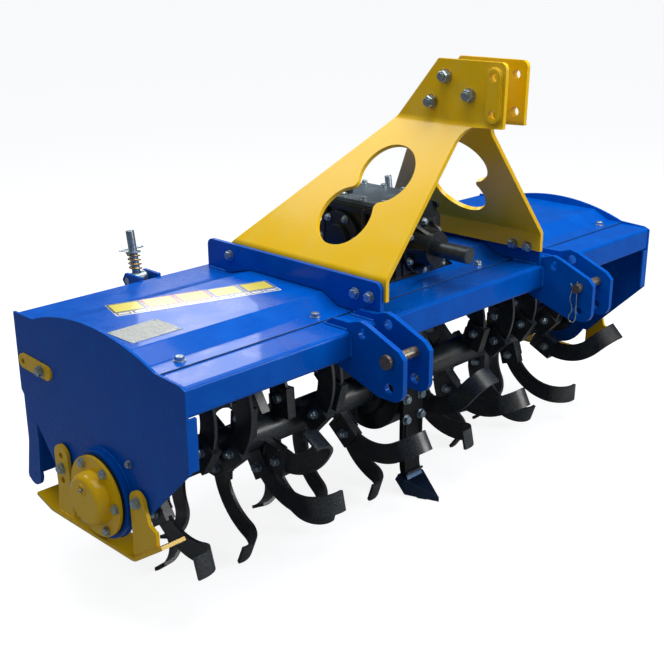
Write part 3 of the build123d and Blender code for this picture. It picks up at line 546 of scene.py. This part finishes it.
def wire(name, points, radius, body="frame"):
    """A zinc plated spring wire, bent through points, with its radius in millimetres."""
    curve = bpy.data.curves.new(name, "CURVE")
    curve.dimensions = "3D"
    curve.bevel_depth = radius / 1000
    curve.bevel_resolution = 2
    curve.use_fill_caps = True
    spline = curve.splines.new("NURBS")
    spline.points.add(len(points) - 1)
    for point, place in zip(spline.points, points):
        point.co = (*place, 1)
    spline.order_u = 3
    spline.use_endpoint_u = True
    spline.resolution_u = 5
    mesh = plain_mesh(bpy.data.objects.new(f"{name}_line", curve))
    mesh.shade_smooth()
    add_piece(name, mesh, body, zinc_plate)


# The clip lies across the pin's inner end: one leg through the hole, one sprung round it.
CLIP_X = 286
CLIP_YZ = (
    (-382, 284),
    (-382, 206),
    (-384, 190),
    (-376, 178),
    (-364, 182),
    (-363, 194),
    (-371, 204),
    (-372, 218),
    (-364, 234),
    (-366, 250),
    (-371, 262),
    (-364, 276),
)
for side, sign in (("left", 1), ("right", -1)):
    wire(f"hitch_clip_{side}", [at(sign * CLIP_X, y, z) for y, z in CLIP_YZ], 1.6)

# -----------------------------------------------------------------------------
# Gearbox: a sand-cast iron housing on a bolted foot, with grained satin black paint. Its top cover is
# a separate grey plate, and a round cover closes the bearing on each side.
# -----------------------------------------------------------------------------
casting_paint = enamel(
    "casting_paint", "#171B1E", "#262C30", "#4A545A", 0.3, coat_roughness=0.2, grain=300, relief=0.5
)
cover_paint = enamel(
    "grey_cover_paint", "#4A545B", "#6A757D", "#8D99A2", 0.34, coat=0.4, coat_roughness=0.2, relief=0.3
)
paint(casting_paint, "gearbox_housing", "gearbox_side_cover_*", "input_cover", "drive_case")
paint(cover_paint, "gearbox_top_cover")


def box_piece(name, corners, finish, bevel=2.0):
    """Blocks from pairs of opposite corners, as one piece. bevel rounds their edges, in millimetres."""
    mesh = bpy.data.meshes.new(name)
    shape = bmesh.new()
    for low, high in corners:
        size = high - low
        place = Matrix.Translation((low + high) / 2)
        place = place @ Matrix.Diagonal((abs(size.x), abs(size.y), abs(size.z), 1))
        bmesh.ops.create_cube(shape, size=1, matrix=place)
    bmesh.ops.bevel(
        shape, geom=shape.edges[:], offset=bevel / 1000, segments=2, affect="EDGES", profile=0.6
    )
    bmesh.ops.recalc_face_normals(shape, faces=shape.faces[:])
    shape.to_mesh(mesh)
    shape.free()
    add_piece(name, mesh, "frame", finish)


def lathe(name, origin, axis, profile, finish, body="frame", steps=40):
    """A turned piece: profile rows of distance along the axis and radius, in millimetres."""
    axis = Vector(axis)
    side = axis.orthogonal().normalized()
    other = axis.cross(side)
    points = []
    for along, radius in profile:
        for k in range(steps):
            turn = math.tau * k / steps
            spoke = side * math.cos(turn) + other * math.sin(turn)
            points.append(origin + (axis * along + spoke * radius) / 1000)
    faces = []
    for row in range(0, len(points) - steps, steps):
        for k in range(steps):
            beside = (k + 1) % steps
            faces.append((row + k, row + beside, row + steps + beside, row + steps + k))
    faces.append(tuple(range(steps)))
    faces.append(tuple(range(len(points) - steps, len(points))))
    mesh = bpy.data.meshes.new(name)
    mesh.from_pydata(points, [], faces)
    shape = bmesh.new()
    shape.from_mesh(mesh)
    bmesh.ops.recalc_face_normals(shape, faces=shape.faces[:])
    shape.to_mesh(mesh)
    shape.free()
    mesh.shade_smooth()
    mesh.set_sharp_from_angle(angle=math.radians(35))
    add_piece(name, mesh, body, finish)


def bolt_circle(radius, first_angle):
    """Six places round a circle, each as its two offsets from the middle in millimetres."""
    turns = [math.radians(first_angle + 60 * k) for k in range(6)]
    return [(radius * math.cos(turn), radius * math.sin(turn)) for turn in turns]


FOOT_TOP_Z = 317
CASTING_SIDE_X = 76
COVER_TOP_Z = 484
SIDE_COVER_X = 88
SIDE_COVER_Y = 52
SHAFT_Z = 384
ribs = []
for x in (-52, 52):
    ribs.append((at(x - 5, -131, FOOT_TOP_Z + 1), at(x + 5, -118, 440)))
for y in (-92, -30, 94):
    for sign in (-1, 1):
        foot = at(sign * CASTING_SIDE_X, y - 5, FOOT_TOP_Z + 1)
        ribs.append((foot, at(sign * (CASTING_SIDE_X + 12), y + 5, 466)))
for sign in (-1, 1):
    ribs.append((at(sign * CASTING_SIDE_X, -118, 456), at(sign * (CASTING_SIDE_X + 9), 120, 472)))
box_piece("gearbox_ribs", ribs, casting_paint, bevel=3)
# A pressed seal closes the gap between the foot and the hood's opening.
SEAL_OUT_X = 123
SEAL_REAR_Y = 137
SEAL_LOW_Z = 301
SEAL_TOP_Z = 307
seal_blocks = [(at(-SEAL_OUT_X, 129, SEAL_LOW_Z), at(SEAL_OUT_X, SEAL_REAR_Y, SEAL_TOP_Z))]
for sign in (-1, 1):
    for inner_x, front_y in ((114, -134), (94, 108)):
        corner = at(sign * inner_x, front_y, SEAL_LOW_Z)
        seal_blocks.append((corner, at(sign * SEAL_OUT_X, SEAL_REAR_Y, SEAL_TOP_Z)))
box_piece("gearbox_foot_seal", seal_blocks, seam_sealant, bevel=0.5)
top_cover_rows = both_sides([(at(70, y, COVER_TOP_Z), UP) for y in (-80, -16, 48, 112)])
top_cover_rows.append((at(0, 113, COVER_TOP_Z), UP))
side_cover_rows = [(at(SIDE_COVER_X, SIDE_COVER_Y + y, SHAFT_Z + z), LEFT) for y, z in bolt_circle(56, -3)]
foot_rows = [(at(104, y, FOOT_TOP_Z), UP) for y in (-112, -40, 40, 112)]
bolts("top_cover_bolts", top_cover_rows, 13, 7, 9)
bolts("side_cover_bolts", both_sides(side_cover_rows), 13, 7, 9)
bolts("foot_bolts", both_sides(foot_rows), 17, 8, 11)
lathe(
    "oil_filler_cap",
    at(-38, 70, COVER_TOP_Z - 1),
    UP,
    ((0, 15), (9, 15), (10, 12), (14, 12), (17, 9), (17, 0.5)),
    casting_paint,
)
lathe(
    "level_plug",
    at(-SIDE_COVER_X, -62, 350),
    -LEFT,
    ((0, 11), (4, 11), (5, 8), (10, 8), (11, 6), (11, 0.5)),
    zinc_plate,
)

# -----------------------------------------------------------------------------
# Input cover and shaft: a cast flange held by six bolts, stiffened by ribs up to its seal boss, and
# a plain ground shaft with a film of oil on it.
# -----------------------------------------------------------------------------
input_cover_rows = [(at(x, -140, SHAFT_Z + z), FORWARD) for x, z in bolt_circle(57, 30)]
bolts("input_cover_bolts", input_cover_rows, 13, 7, 9, washer_height=1.6)
RIB_HALF_T = 4
# Each rib's three sections: their place along Y, and their inner and outer radius.
RIB_SECTIONS = ((-139, 40, 63), (-160, 40, 50), (-172, 38, 42))
rib_points = []
rib_faces = []
for k in range(6):
    turn = math.radians(60 * k)
    out = Vector((math.cos(turn), 0, math.sin(turn)))
    across = Vector((-math.sin(turn), 0, math.cos(turn)))
    start = len(rib_points)
    for y, inner_r, outer_r in RIB_SECTIONS:
        for radius in (inner_r, outer_r):
            for half in (-RIB_HALF_T, RIB_HALF_T):
                rib_points.append(at(0, y, SHAFT_Z) + (out * radius + across * half) / 1000)
    for a in (start, start + 4):
        rib_faces += [(a + 2, a + 3, a + 7, a + 6), (a, a + 2, a + 6, a + 4), (a + 1, a + 5, a + 7, a + 3)]
    rib_faces.append((start + 8, start + 10, start + 11, start + 9))
rib_mesh = bpy.data.meshes.new("input_cover_ribs")
rib_mesh.from_pydata(rib_points, [], rib_faces)
add_piece("input_cover_ribs", rib_mesh, "frame", casting_paint)

oiled_steel, tree, shader, place = start_material("oiled_ground_steel")
# The film of oil lies in patches about 20 mm across.
oil_film = add_node(
    tree, "ShaderNodeTexNoise", {"Vector": place}, {"Scale": 45, "Detail": 6, "Roughness": 0.7}
).outputs["Fac"]
oiled_tone = add_node(
    tree, "ShaderNodeMix", {0: oil_film}, {6: srgb("#2B3236"), 7: srgb("#626B70")}, data_type="RGBA"
).outputs[2]
tree.links.new(oiled_tone, shader.inputs["Base Color"])
shader.inputs["Metallic"].default_value = 0.7
film_rough = add_node(
    tree, "ShaderNodeMapRange", {"Value": oil_film}, {"To Min": 0.25, "To Max": 0.5}
).outputs["Result"]
tree.links.new(film_rough, shader.inputs["Roughness"])
# Grinding leaves rings round the shaft, under 1 mm apart.
rings_place = add_node(tree, "ShaderNodeMapping", {"Vector": place}, {"Scale": (0.2, 30, 0.2)}).outputs[0]
turning_marks = add_node(
    tree, "ShaderNodeTexNoise", {"Vector": rings_place}, {"Scale": 50, "Detail": 3}
).outputs["Fac"]
turned_bump = add_node(
    tree, "ShaderNodeBump", {"Height": turning_marks}, {"Strength": 0.15, "Distance": 0.0003}
).outputs["Normal"]
tree.links.new(turned_bump, shader.inputs["Normal"])
paint(oiled_steel, "input_shaft")

# -----------------------------------------------------------------------------
# Centre chisel: forged and bolted to the drive case. Black paint, ground off the lower part of the
# point, and the welds that join plate, shank and point.
# -----------------------------------------------------------------------------
CHISEL_BLACKS = ("#0E1113", "#1D2327", "#343D43")
black_satin = enamel(
    "black_satin_paint", *CHISEL_BLACKS, gloss=0.34, coat=0.3, coat_roughness=0.3, edge_wear_and_highlight=0.5
)
chisel_steel = enamel(
    "ground_chisel_paint", *CHISEL_BLACKS, gloss=0.3, coat=0.3, coat_roughness=0.3, edge_wear_and_highlight=0.5
)
GRIND_STARTS_Z = 0.062  # heights above the floor, in metres, between which the paint ends
GRIND_FULL_Z = 0.050
tree = chisel_steel.node_tree
shader = tree.nodes["Principled BSDF"]
chisel_black = shader.inputs["Base Color"].links[0].from_socket
place = add_node(tree, "ShaderNodeTexCoord").outputs["Object"]
height = add_node(tree, "ShaderNodeSeparateXYZ", {0: place}).outputs["Z"]
ground_zone = add_node(
    tree, "ShaderNodeMapRange", {"Value": height}, {"From Min": GRIND_STARTS_Z, "From Max": GRIND_FULL_Z}
).outputs["Result"]
ground = add_node(
    tree, "ShaderNodeMix", {0: ground_zone, 6: chisel_black}, {7: srgb("#30455F")}, data_type="RGBA"
).outputs[2]
tree.links.new(ground, shader.inputs["Base Color"])
tree.links.new(ground_zone, shader.inputs["Metallic"])
paint(chisel_steel, "centre_chisel")
bolts("chisel_bolts", [(at(x, -120, z), FORWARD) for x in (-27, 27) for z in (-2, -56)], 19, 9, 13)
chisel_runs = [[at(x, -121, -118), at(x, -121, -64)] for x in (-28, 28)]
chisel_runs.append([at(-29, -129, -200), at(29, -129, -200)])
beads("chisel_welds", chisel_runs, 3.0, black_satin)

# -----------------------------------------------------------------------------
# Rotor: tube, welded sockets and sickle-shaped spring steel tines, dipped in black paint that has
# run into a rough, speckled film. One bolt and nut hold each tine in its socket.
# -----------------------------------------------------------------------------
tine_paint, tree, shader, place = start_material("dipped_tine_paint")
# Grey speckle of 2 to 3 mm, on black that is thicker and thinner in runs about 40 mm across.
speckle = add_node(
    tree, "ShaderNodeTexNoise", {"Vector": place}, {"Scale": 420, "Detail": 5, "Roughness": 0.8}
).outputs["Fac"]
runs = add_node(tree, "ShaderNodeTexNoise", {"Vector": place}, {"Scale": 26, "Detail": 5}).outputs["Fac"]
grit = add_node(
    tree, "ShaderNodeMapRange", {"Value": speckle}, {"From Min": 0.50, "From Max": 0.64}
).outputs["Result"]
dipped = add_node(
    tree, "ShaderNodeMix", {0: runs}, {6: srgb("#07090B"), 7: srgb("#161A1E")}, data_type="RGBA"
).outputs[2]
# Thin brown stains from storage, which also stand for a painted warm sheen, in patches about 90 mm across.
stain_and_sheen_noise = add_node(tree, "ShaderNodeTexNoise", {"Vector": place}, {"Scale": 11, "Detail": 6}).outputs["Fac"]
stain_and_sheen_mask = add_node(
    tree,
    "ShaderNodeMapRange",
    {"Value": stain_and_sheen_noise},
    {"From Min": 0.52, "From Max": 0.68, "To Max": 0.75},
).outputs["Result"]
stained_and_sheened = add_node(
    tree, "ShaderNodeMix", {0: stain_and_sheen_mask, 6: dipped}, {7: srgb("#382D20")}, data_type="RGBA"
).outputs[2]
speckled = add_node(
    tree, "ShaderNodeMix", {0: grit, 6: stained_and_sheened}, {7: srgb("#4C5861")}, data_type="RGBA"
).outputs[2]
tree.links.new(speckled, shader.inputs["Base Color"])
dipped_rough = add_node(
    tree,
    "ShaderNodeMapRange",
    {"Value": runs},
    {"From Min": 0.3, "From Max": 0.7, "To Min": 0.28, "To Max": 0.5},
).outputs["Result"]
tree.links.new(dipped_rough, shader.inputs["Roughness"])
shader.inputs["Coat Weight"].default_value = 0.35
shader.inputs["Coat Roughness"].default_value = 0.22
tine_edge = add_node(tree, "ShaderNodeBevel", values={"Radius": 0.0014}, samples=4).outputs["Normal"]
grit_bump = add_node(
    tree, "ShaderNodeBump", {"Height": speckle, "Normal": tine_edge}, {"Strength": 0.35, "Distance": 0.0008}
).outputs["Normal"]
tree.links.new(grit_bump, shader.inputs["Normal"])
paint(tine_paint, "rotor_*")

REST_HALF_ANGLE = 8
TINE_LEAN = 30
TINE_SWEEP_R = 145
TINE_SWEEP = 71
TINE_ROOT_R = 70
TINE_W = 48
TINE_T = 8
TINE_BOLT_OUT = 16  # the bolt's distance from the root, along the tine
SOCKET_X = 24
SOCKET_IN = 24  # the socket's weld, from its inner end to its outer, along the tine
SOCKET_OUT = 20
SOCKET_BACK = 29  # the weld's distance behind the tine's middle
SOCKET_FOOT = 34
# Each station: its distance from the middle, its first tine's tip angle and both blades' sides.
LEFT_STATIONS = (
    (92, 173, 1, 1),
    (160, -146, -1, -1),
    (253, -161, 1, 1),
    (330, -98, -1, 1),
    (400, -72, 1, -1),
    (465, -115, 1, -1),
    (525, -82, -1, 1),
    (587, -132, 1, -1),
    (632, -72, -1, 1),
    (677, -179, 1, 1),
)
RIGHT_STATIONS = (
    (80, -115, 1, 1),
    (150, -164, -1, 1),
    (215, -98, 1, -1),
    (290, -72, 1, -1),
    (350, -118, -1, 1),
    (396, 167, 1, -1),
    (407, -146, -1, 1),
    (480, -110, 1, -1),
    (545, 115, -1, 1),
    (615, -82, 1, -1),
    (694, -150, 1, -1),
)
tip_radius = AXIS.z * 1000 / math.cos(math.radians(REST_HALF_ANGLE))
end_lean = TINE_LEAN + TINE_SWEEP
sweep_ahead = TINE_SWEEP_R * (1 - math.cos(math.radians(TINE_SWEEP)))
tip_ahead = TINE_ROOT_R * math.sin(math.radians(end_lean)) + sweep_ahead + TINE_W / 2
tip_to_root = end_lean - math.degrees(math.asin(tip_ahead / tip_radius))


def millimetre(angle):
    """A step of one millimetre across the rotor's axis, its angle counted from straight back."""
    return Vector((0, math.cos(math.radians(angle)), math.sin(math.radians(angle)))) / 1000


tine_bolts = []
tine_nuts = []
socket_runs = []
for rotor_side, stations in ((1, LEFT_STATIONS), (-1, RIGHT_STATIONS)):
    for station_x, tip_angle, first_side, second_side in stations:
        for turn, blade_side in ((0, first_side), (180, second_side)):
            root_angle = tip_angle + tip_to_root + turn
            along = millimetre(root_angle - TINE_LEAN)
            ahead = millimetre(root_angle - TINE_LEAN + 90)
            way = LEFT * blade_side * rotor_side
            root = turned(root_angle, TINE_ROOT_R, rotor_side * station_x) + way * TINE_T / 2000
            bolt_place = root + along * TINE_BOLT_OUT
            tine_bolts.append((bolt_place + way * SOCKET_X / 2000, way))
            tine_nuts.append((bolt_place - way * SOCKET_X / 2000, -way))
            for face in (-1, 1):
                back = root + way * face * (SOCKET_X + 1) / 2000 - ahead * SOCKET_BACK
                low = back - along * SOCKET_IN
                socket_runs.append([low, back + along * SOCKET_OUT])
                socket_runs.append([low, low + ahead * SOCKET_FOOT])
bolts("tine_bolts", tine_bolts, 19, 9, 12, washer_height=2.5, body="rotor")
bolts("tine_nuts", tine_nuts, 19, 10, 12, washer_height=2.5, thread=(6, 5), body="rotor")
beads("socket_welds", socket_runs, 2.6, tine_paint, body="rotor", pitch=6.0)
HUB_WELD_R = 39
HUB_WELDS_X = (63, 775.5)
hub_welds = []
for x in [sign * place_x for sign in (-1, 1) for place_x in HUB_WELDS_X]:
    hub_welds.append([turned(angle, HUB_WELD_R, x) for angle in range(0, 361, 12)])
beads("tube_welds", hub_welds, 2.8, tine_paint, body="rotor", pitch=6.0)

# -----------------------------------------------------------------------------
# Bearing housings and caps: cast iron flanges, the caps sprayed yellow with the skids. A black
# gasket shows between them, six bolts go through both, and a grease nipple sits in the cap's dome.
# -----------------------------------------------------------------------------
# Its grain is about 2 mm, as moulded.
gasket_rubber = rubber("black_gasket_rubber", "#0B0C0D", "#202326", 0.7, 500, 3, 0.2, 0.0004)
CAP_BOLTS_X = 841
CAP_BOLTS_R = 73
CAP_FIRST_BOLT = -29.2
GASKET_X = 831.5
NIPPLE_Z = 25
paint(casting_paint, "bearing_housing_*")
paint(yellow_enamel, "bearing_cap_*")
for side, sign in (("left", 1), ("right", -1)):
    lathe(
        f"cap_gasket_{side}",
        at(sign * GASKET_X, 0, 0),
        LEFT * sign,
        ((0, 60), (0, 86.8), (2.6, 86.8), (2.6, 60)),
        gasket_rubber,
        steps=64,
    )
    lathe(
        f"grease_boss_{side}",
        at(sign * 866, 0, NIPPLE_Z),
        LEFT * sign,
        ((0, 13), (4, 13), (5, 12), (5, 9), (1.5, 8), (1.5, 0.5)),
        yellow_enamel,
    )
    lathe(
        f"grease_nipple_{side}",
        at(sign * 867, 0, NIPPLE_Z),
        LEFT * sign,
        ((0, 4.5), (3, 4.5), (3.2, 3), (6, 2.6), (7, 3.4), (8.4, 3.2), (9.5, 1.6), (9.5, 0.3)),
        zinc_plate,
        steps=20,
    )
cap_rows = [(at(CAP_BOLTS_X, -y, z), LEFT) for z, y in bolt_circle(CAP_BOLTS_R, CAP_FIRST_BOLT)]
bolts("cap_bolts", both_sides(cap_rows), 17, 7, 10.5, washer_height=1.6)
bolts("end_plate_plugs", both_sides([(at(END_PLATE_OUT_X, -88, 92), LEFT)]), 13, 6, 9)

# -----------------------------------------------------------------------------
# Skids: bent flat bar with two legs welded on, sprayed yellow. One bolt in each leg holds it, and the
# spare holes set its height.
# -----------------------------------------------------------------------------
SKID_OUT_X = 824
SOLE_TOP_Z = -102
paint(yellow_enamel, "skid_*")
paint(zinc_plate, "skid_washers_*")
skid_rows = [(at(SKID_OUT_X, 148, 6), LEFT), (at(SKID_OUT_X, -121, 24), LEFT)]
bolts("skid_bolts", both_sides(skid_rows), 19, 9, 13)
skid_runs = [[at(x, y, SOLE_TOP_Z) for y in (116, 176)] for x in (SKID_OUT_X + 0.5, SKID_OUT_X - 8.5)]
skid_runs.append([at(SKID_OUT_X + 0.5, -104, SOLE_TOP_Z), at(SKID_OUT_X + 0.5, -170, -60)])
beads("skid_welds", mirrored(skid_runs), 2.6, yellow_enamel)
bolts("strap_bolts", both_sides([(at(818, 206, 208), LEFT)]), 19, 9, 13)

# -----------------------------------------------------------------------------
# Trailing board and adjusters: folded sheet on a hinge rod. Each adjuster is a zinc plated rod in a
# swivel, with a spring under a washer and a spring clip through the rod.
# -----------------------------------------------------------------------------
paint(zinc_plate, "hinge_rod", "adjuster_swivel_*", "adjuster_rod_*")
paint(yellow_zinc, "adjuster_spring_*")
ADJUSTER_X = 455
ROD_FOOT = Vector((336, 150))
ROD_SWIVEL = Vector((360, 300))
ROD_END = 113.8  # the rod's upper end, from the swivel
rod_way = (ROD_SWIVEL - ROD_FOOT).normalized()


def on_rod(x, along, aside=0.0):
    """A point beside an adjuster's rod: along it from the swivel, and aside to the rear."""
    place = ROD_SWIVEL + rod_way * along + Vector((rod_way.y, -rod_way.x)) * aside
    return at(x, place.x, place.y)


# The clip's leg goes through the rod and its other leg snaps round it: X offsets and rise aside.
ROD_CLIP_Z = 71
ROD_CLIP = ((-30, 0), (22, 0), (32, 2), (34, 10), (26, 13), (12, 10.5), (-2, 12.5), (-16, 11), (-28, 16))
END_PROFILE = ((0, 10), (0.8, 9.6), (1.6, 8.4), (1.6, 0.5))
rod_up = (on_rod(0, 100) - on_rod(0, 0)).normalized()
for side, sign in (("left", 1), ("right", -1)):
    x = sign * ADJUSTER_X
    rod = f"adjuster_rod_{side}"
    pivot_rows = [(at(x + way * 20, *ROD_FOOT), LEFT * way) for way in (-1, 1)]
    clip_line = [on_rod(x + offset, ROD_CLIP_Z, aside) for offset, aside in ROD_CLIP]
    rod_end = on_rod(x, ROD_END)
    wire(f"adjuster_clip_{side}", clip_line, 1.7, rod)
    bolts(f"adjuster_pivot_nut_{side}", pivot_rows, 17, 8, 11, thread=(5, 4), body="trailing_board")
    lathe(f"adjuster_rod_top_{side}", rod_end, rod_up, END_PROFILE, zinc_plate, rod)

# -----------------------------------------------------------------------------
# Blank labels on the hood, printed film under a clear coat, and a plain stamped data plate fixed by
# four rivets. All of them are left without words or signs.
# -----------------------------------------------------------------------------
def film(name, colour):
    """Printed film, faded in fine specks of about 1.5 mm."""
    material, tree, shader, place = start_material(name)
    grain = add_node(
        tree, "ShaderNodeTexNoise", {"Vector": place}, {"Scale": 700, "Detail": 4, "Roughness": 0.8}
    ).outputs["Fac"]
    fade = add_node(
        tree, "ShaderNodeMapRange", {"Value": grain}, {"From Min": 0.35, "From Max": 0.7, "To Max": 0.35}
    ).outputs["Result"]
    printed = add_node(
        tree, "ShaderNodeMix", {0: fade}, {6: srgb(colour), 7: srgb("#A8A8A0")}, data_type="RGBA"
    ).outputs[2]
    tree.links.new(printed, shader.inputs["Base Color"])
    shader.inputs["Roughness"].default_value = 0.35
    shader.inputs["Coat Weight"].default_value = 0.6
    shader.inputs["Coat Roughness"].default_value = 0.12
    film_bump = add_node(
        tree, "ShaderNodeBump", {"Height": grain}, {"Strength": 0.05, "Distance": 0.0003}
    ).outputs["Normal"]
    tree.links.new(film_bump, shader.inputs["Normal"])
    return material


plate_metal = plated("stamped_plate_metal", "#C9CCC8", "#A3A9AA", 0.42)
HOOD_DECK_Z = 330
LABEL_PITCH = 75
STRIP_MIDDLE = 41  # the strip's middle line, across a label
STRIP_START = Vector((-693, 118))
STRIP_ANGLE = math.atan2(24 - 135, 693 - 330)
strip_way = Vector((math.cos(STRIP_ANGLE), math.sin(STRIP_ANGLE)))
strip_side = Vector((-strip_way.y, strip_way.x))
# One label's printed fields: their ink, two corners along and across it, and the film's height.
LABEL_FIELDS = (
    ("white", 0, 0, 73, 84, 0.25),
    ("border", 1, 22, 72, 83, 0.40),
    ("yellow", 6, 27, 67, 78, 0.55),
    ("border", 3, 4, 34, 20, 0.40),
    ("border", 38, 4, 70, 20, 0.40),
    ("white", 7, 8, 30, 16, 0.55),
    ("white", 42, 8, 66, 16, 0.55),
)
LABEL_BORDERS = ("black", "red", "red", "blue", "blue")
label_films = {
    "white": film("label_white_film", "#E6E7E4"),
    "black": film("label_black_print", "#16181A"),
    "red": film("label_red_print", "#C81E22"),
    "blue": film("label_blue_print", "#12408C"),
    "yellow": film("label_yellow_film", "#DCCB12"),
}
for ink, finish in label_films.items():
    points = []
    faces = []
    for number, border in enumerate(LABEL_BORDERS):
        for field_ink, left, low, right, high, lift in LABEL_FIELDS:
            if ink != (border if field_ink == "border" else field_ink):
                continue
            start = len(points)
            for rise in (lift, 0.05):
                for along, across in ((left, low), (right, low), (right, high), (left, high)):
                    spot = STRIP_START + strip_way * (number * LABEL_PITCH + along)
                    spot += strip_side * (across - STRIP_MIDDLE)
                    points.append(at(spot.x, spot.y, HOOD_DECK_Z + rise))
            faces.append((start, start + 1, start + 2, start + 3))
            faces.append((start + 7, start + 6, start + 5, start + 4))
            for k in range(4):
                beside = (k + 1) % 4
                faces.append((start + k, start + 4 + k, start + 4 + beside, start + beside))
    mesh = bpy.data.meshes.new(f"hood_labels_{ink}")
    mesh.from_pydata(points, [], faces)
    add_piece(f"hood_labels_{ink}", mesh, "frame", finish=finish)
plate_corners = (at(-779, -79, HOOD_DECK_Z + 0.05), at(-660, 7, HOOD_DECK_Z + 1.2))
box_piece("data_plate", [plate_corners], plate_metal, bevel=0.4)
RIVETS_XY = ((-773, -73), (-666, -73), (-773, 1), (-666, 1))
RIVET_PROFILE = ((0, 3.4), (0.8, 3.2), (1.5, 2.2), (1.8, 0.2))
for index, (x, y) in enumerate(RIVETS_XY):
    foot = at(x, y, HOOD_DECK_Z + 1.1)
    lathe(f"data_plate_rivet_{index}", foot, UP, RIVET_PROFILE, zinc_plate, steps=16)

# -----------------------------------------------------------------------------
# Studio: a pale seamless floor, one large soft light overhead, a broad one from the machine's left
# front, two weak ones behind it, and a camera at standing height by its right front corner.
# -----------------------------------------------------------------------------
FLOOR_HALF = 30.0
floor_corners = ((-1, -1), (1, -1), (1, 1), (-1, 1))
floor_mesh = bpy.data.meshes.new("studio_floor")
floor_mesh.from_pydata([(x * FLOOR_HALF, y * FLOOR_HALF, 0) for x, y in floor_corners], [], [(0, 1, 2, 3)])
floor = bpy.data.objects.new("studio_floor", floor_mesh)
bpy.context.scene.collection.objects.link(floor)
floor_paper, tree, shader, place = start_material("floor_paper")
shader.inputs["Base Color"].default_value = srgb("#8C8E90")
shader.inputs["Roughness"].default_value = 0.9
shader.inputs["Specular IOR Level"].default_value = 0.1
shader.inputs["Emission Color"].default_value = srgb("#FFFFFF")
# The paper glows only where it is seen, so that it looks white and throws little light upwards.
glow = add_node(
    tree,
    "ShaderNodeMapRange",
    {"Value": add_node(tree, "ShaderNodeLightPath").outputs["Is Camera Ray"]},
    {"To Min": 0.0, "To Max": 0.86},
).outputs["Result"]
tree.links.new(glow, shader.inputs["Emission Strength"])
floor_mesh.materials.append(floor_paper)

world = bpy.data.worlds.new("studio_air")
bpy.context.scene.world = world
world.use_nodes = True
# A white cyclorama: it is seen as white, and lights the machine as a duller, slightly blue dome.
tree = world.node_tree
air = tree.nodes["Background"]
air.inputs["Color"].default_value = srgb("#E6EEF8")
paths = add_node(tree, "ShaderNodeLightPath").outputs
seen = add_node(
    tree, "ShaderNodeMapRange", {"Value": paths["Is Camera Ray"]}, {"To Min": 0.40, "To Max": 1.3}
).outputs["Result"]
mirrored_share = add_node(
    tree, "ShaderNodeMapRange", {"Value": paths["Is Glossy Ray"]}, {"To Min": 1.0, "To Max": 0.2}
).outputs["Result"]
strength = add_node(tree, "ShaderNodeMath", {0: seen, 1: mirrored_share}, operation="MULTIPLY").outputs[0]
tree.links.new(strength, air.inputs["Strength"])
bpy.context.scene.view_settings.view_transform = "Standard"


def soft_light(name, place, target, size, power):
    """A rectangular softbox, aimed at a target. Its power is in watts and the rest in metres."""
    data = bpy.data.lights.new(name, "AREA")
    data.shape = "RECTANGLE"
    data.size, data.size_y = size
    data.energy = power
    light = bpy.data.objects.new(name, data)
    light.location = place
    light.rotation_euler = (Vector(target) - Vector(place)).to_track_quat("-Z", "Y").to_euler()
    bpy.context.scene.collection.objects.link(light)


soft_light("overhead_softbox", (0.2, -0.5, 3.2), (0, 0, 0.4), (2.4, 2.0), 92)
soft_light("high_rear_softbox", (-0.5, 2.1, 3.0), (0, 0, 0.5), (1.6, 1.2), 30)
soft_light("rear_softbox", (1.25, 2.35, 1.75), (-0.7, 0, 0.6), (0.6, 0.5), 6)
soft_light("front_softbox", (1.8, -3.4, 1.9), (0, 0, 0.4), (2.0, 1.4), 75)

CAMERA_PLACE = at(-1874.8, -1700.3, 1025.9)
CAMERA_AZIMUTH = math.radians(-45.211)
CAMERA_ELEVATION = math.radians(19.368)
CAMERA_ROLL = math.radians(-0.386)
back = Vector(
    (
        math.sin(CAMERA_AZIMUTH) * math.cos(CAMERA_ELEVATION),
        -math.cos(CAMERA_AZIMUTH) * math.cos(CAMERA_ELEVATION),
        math.sin(CAMERA_ELEVATION),
    )
)
level = Vector((math.cos(CAMERA_AZIMUTH), math.sin(CAMERA_AZIMUTH), 0))
upright = back.cross(level)
right = level * math.cos(CAMERA_ROLL) + upright * math.sin(CAMERA_ROLL)
up = upright * math.cos(CAMERA_ROLL) - level * math.sin(CAMERA_ROLL)
camera_data = bpy.data.cameras.new("studio_camera")
camera_data.sensor_width = 36.0
camera_data.lens = 58.37
camera = bpy.data.objects.new("studio_camera", camera_data)
camera_turn = Matrix((right, up, back)).transposed().to_4x4()
camera.matrix_world = Matrix.Translation(CAMERA_PLACE) @ camera_turn
bpy.context.scene.collection.objects.link(camera)
bpy.context.scene.camera = camera
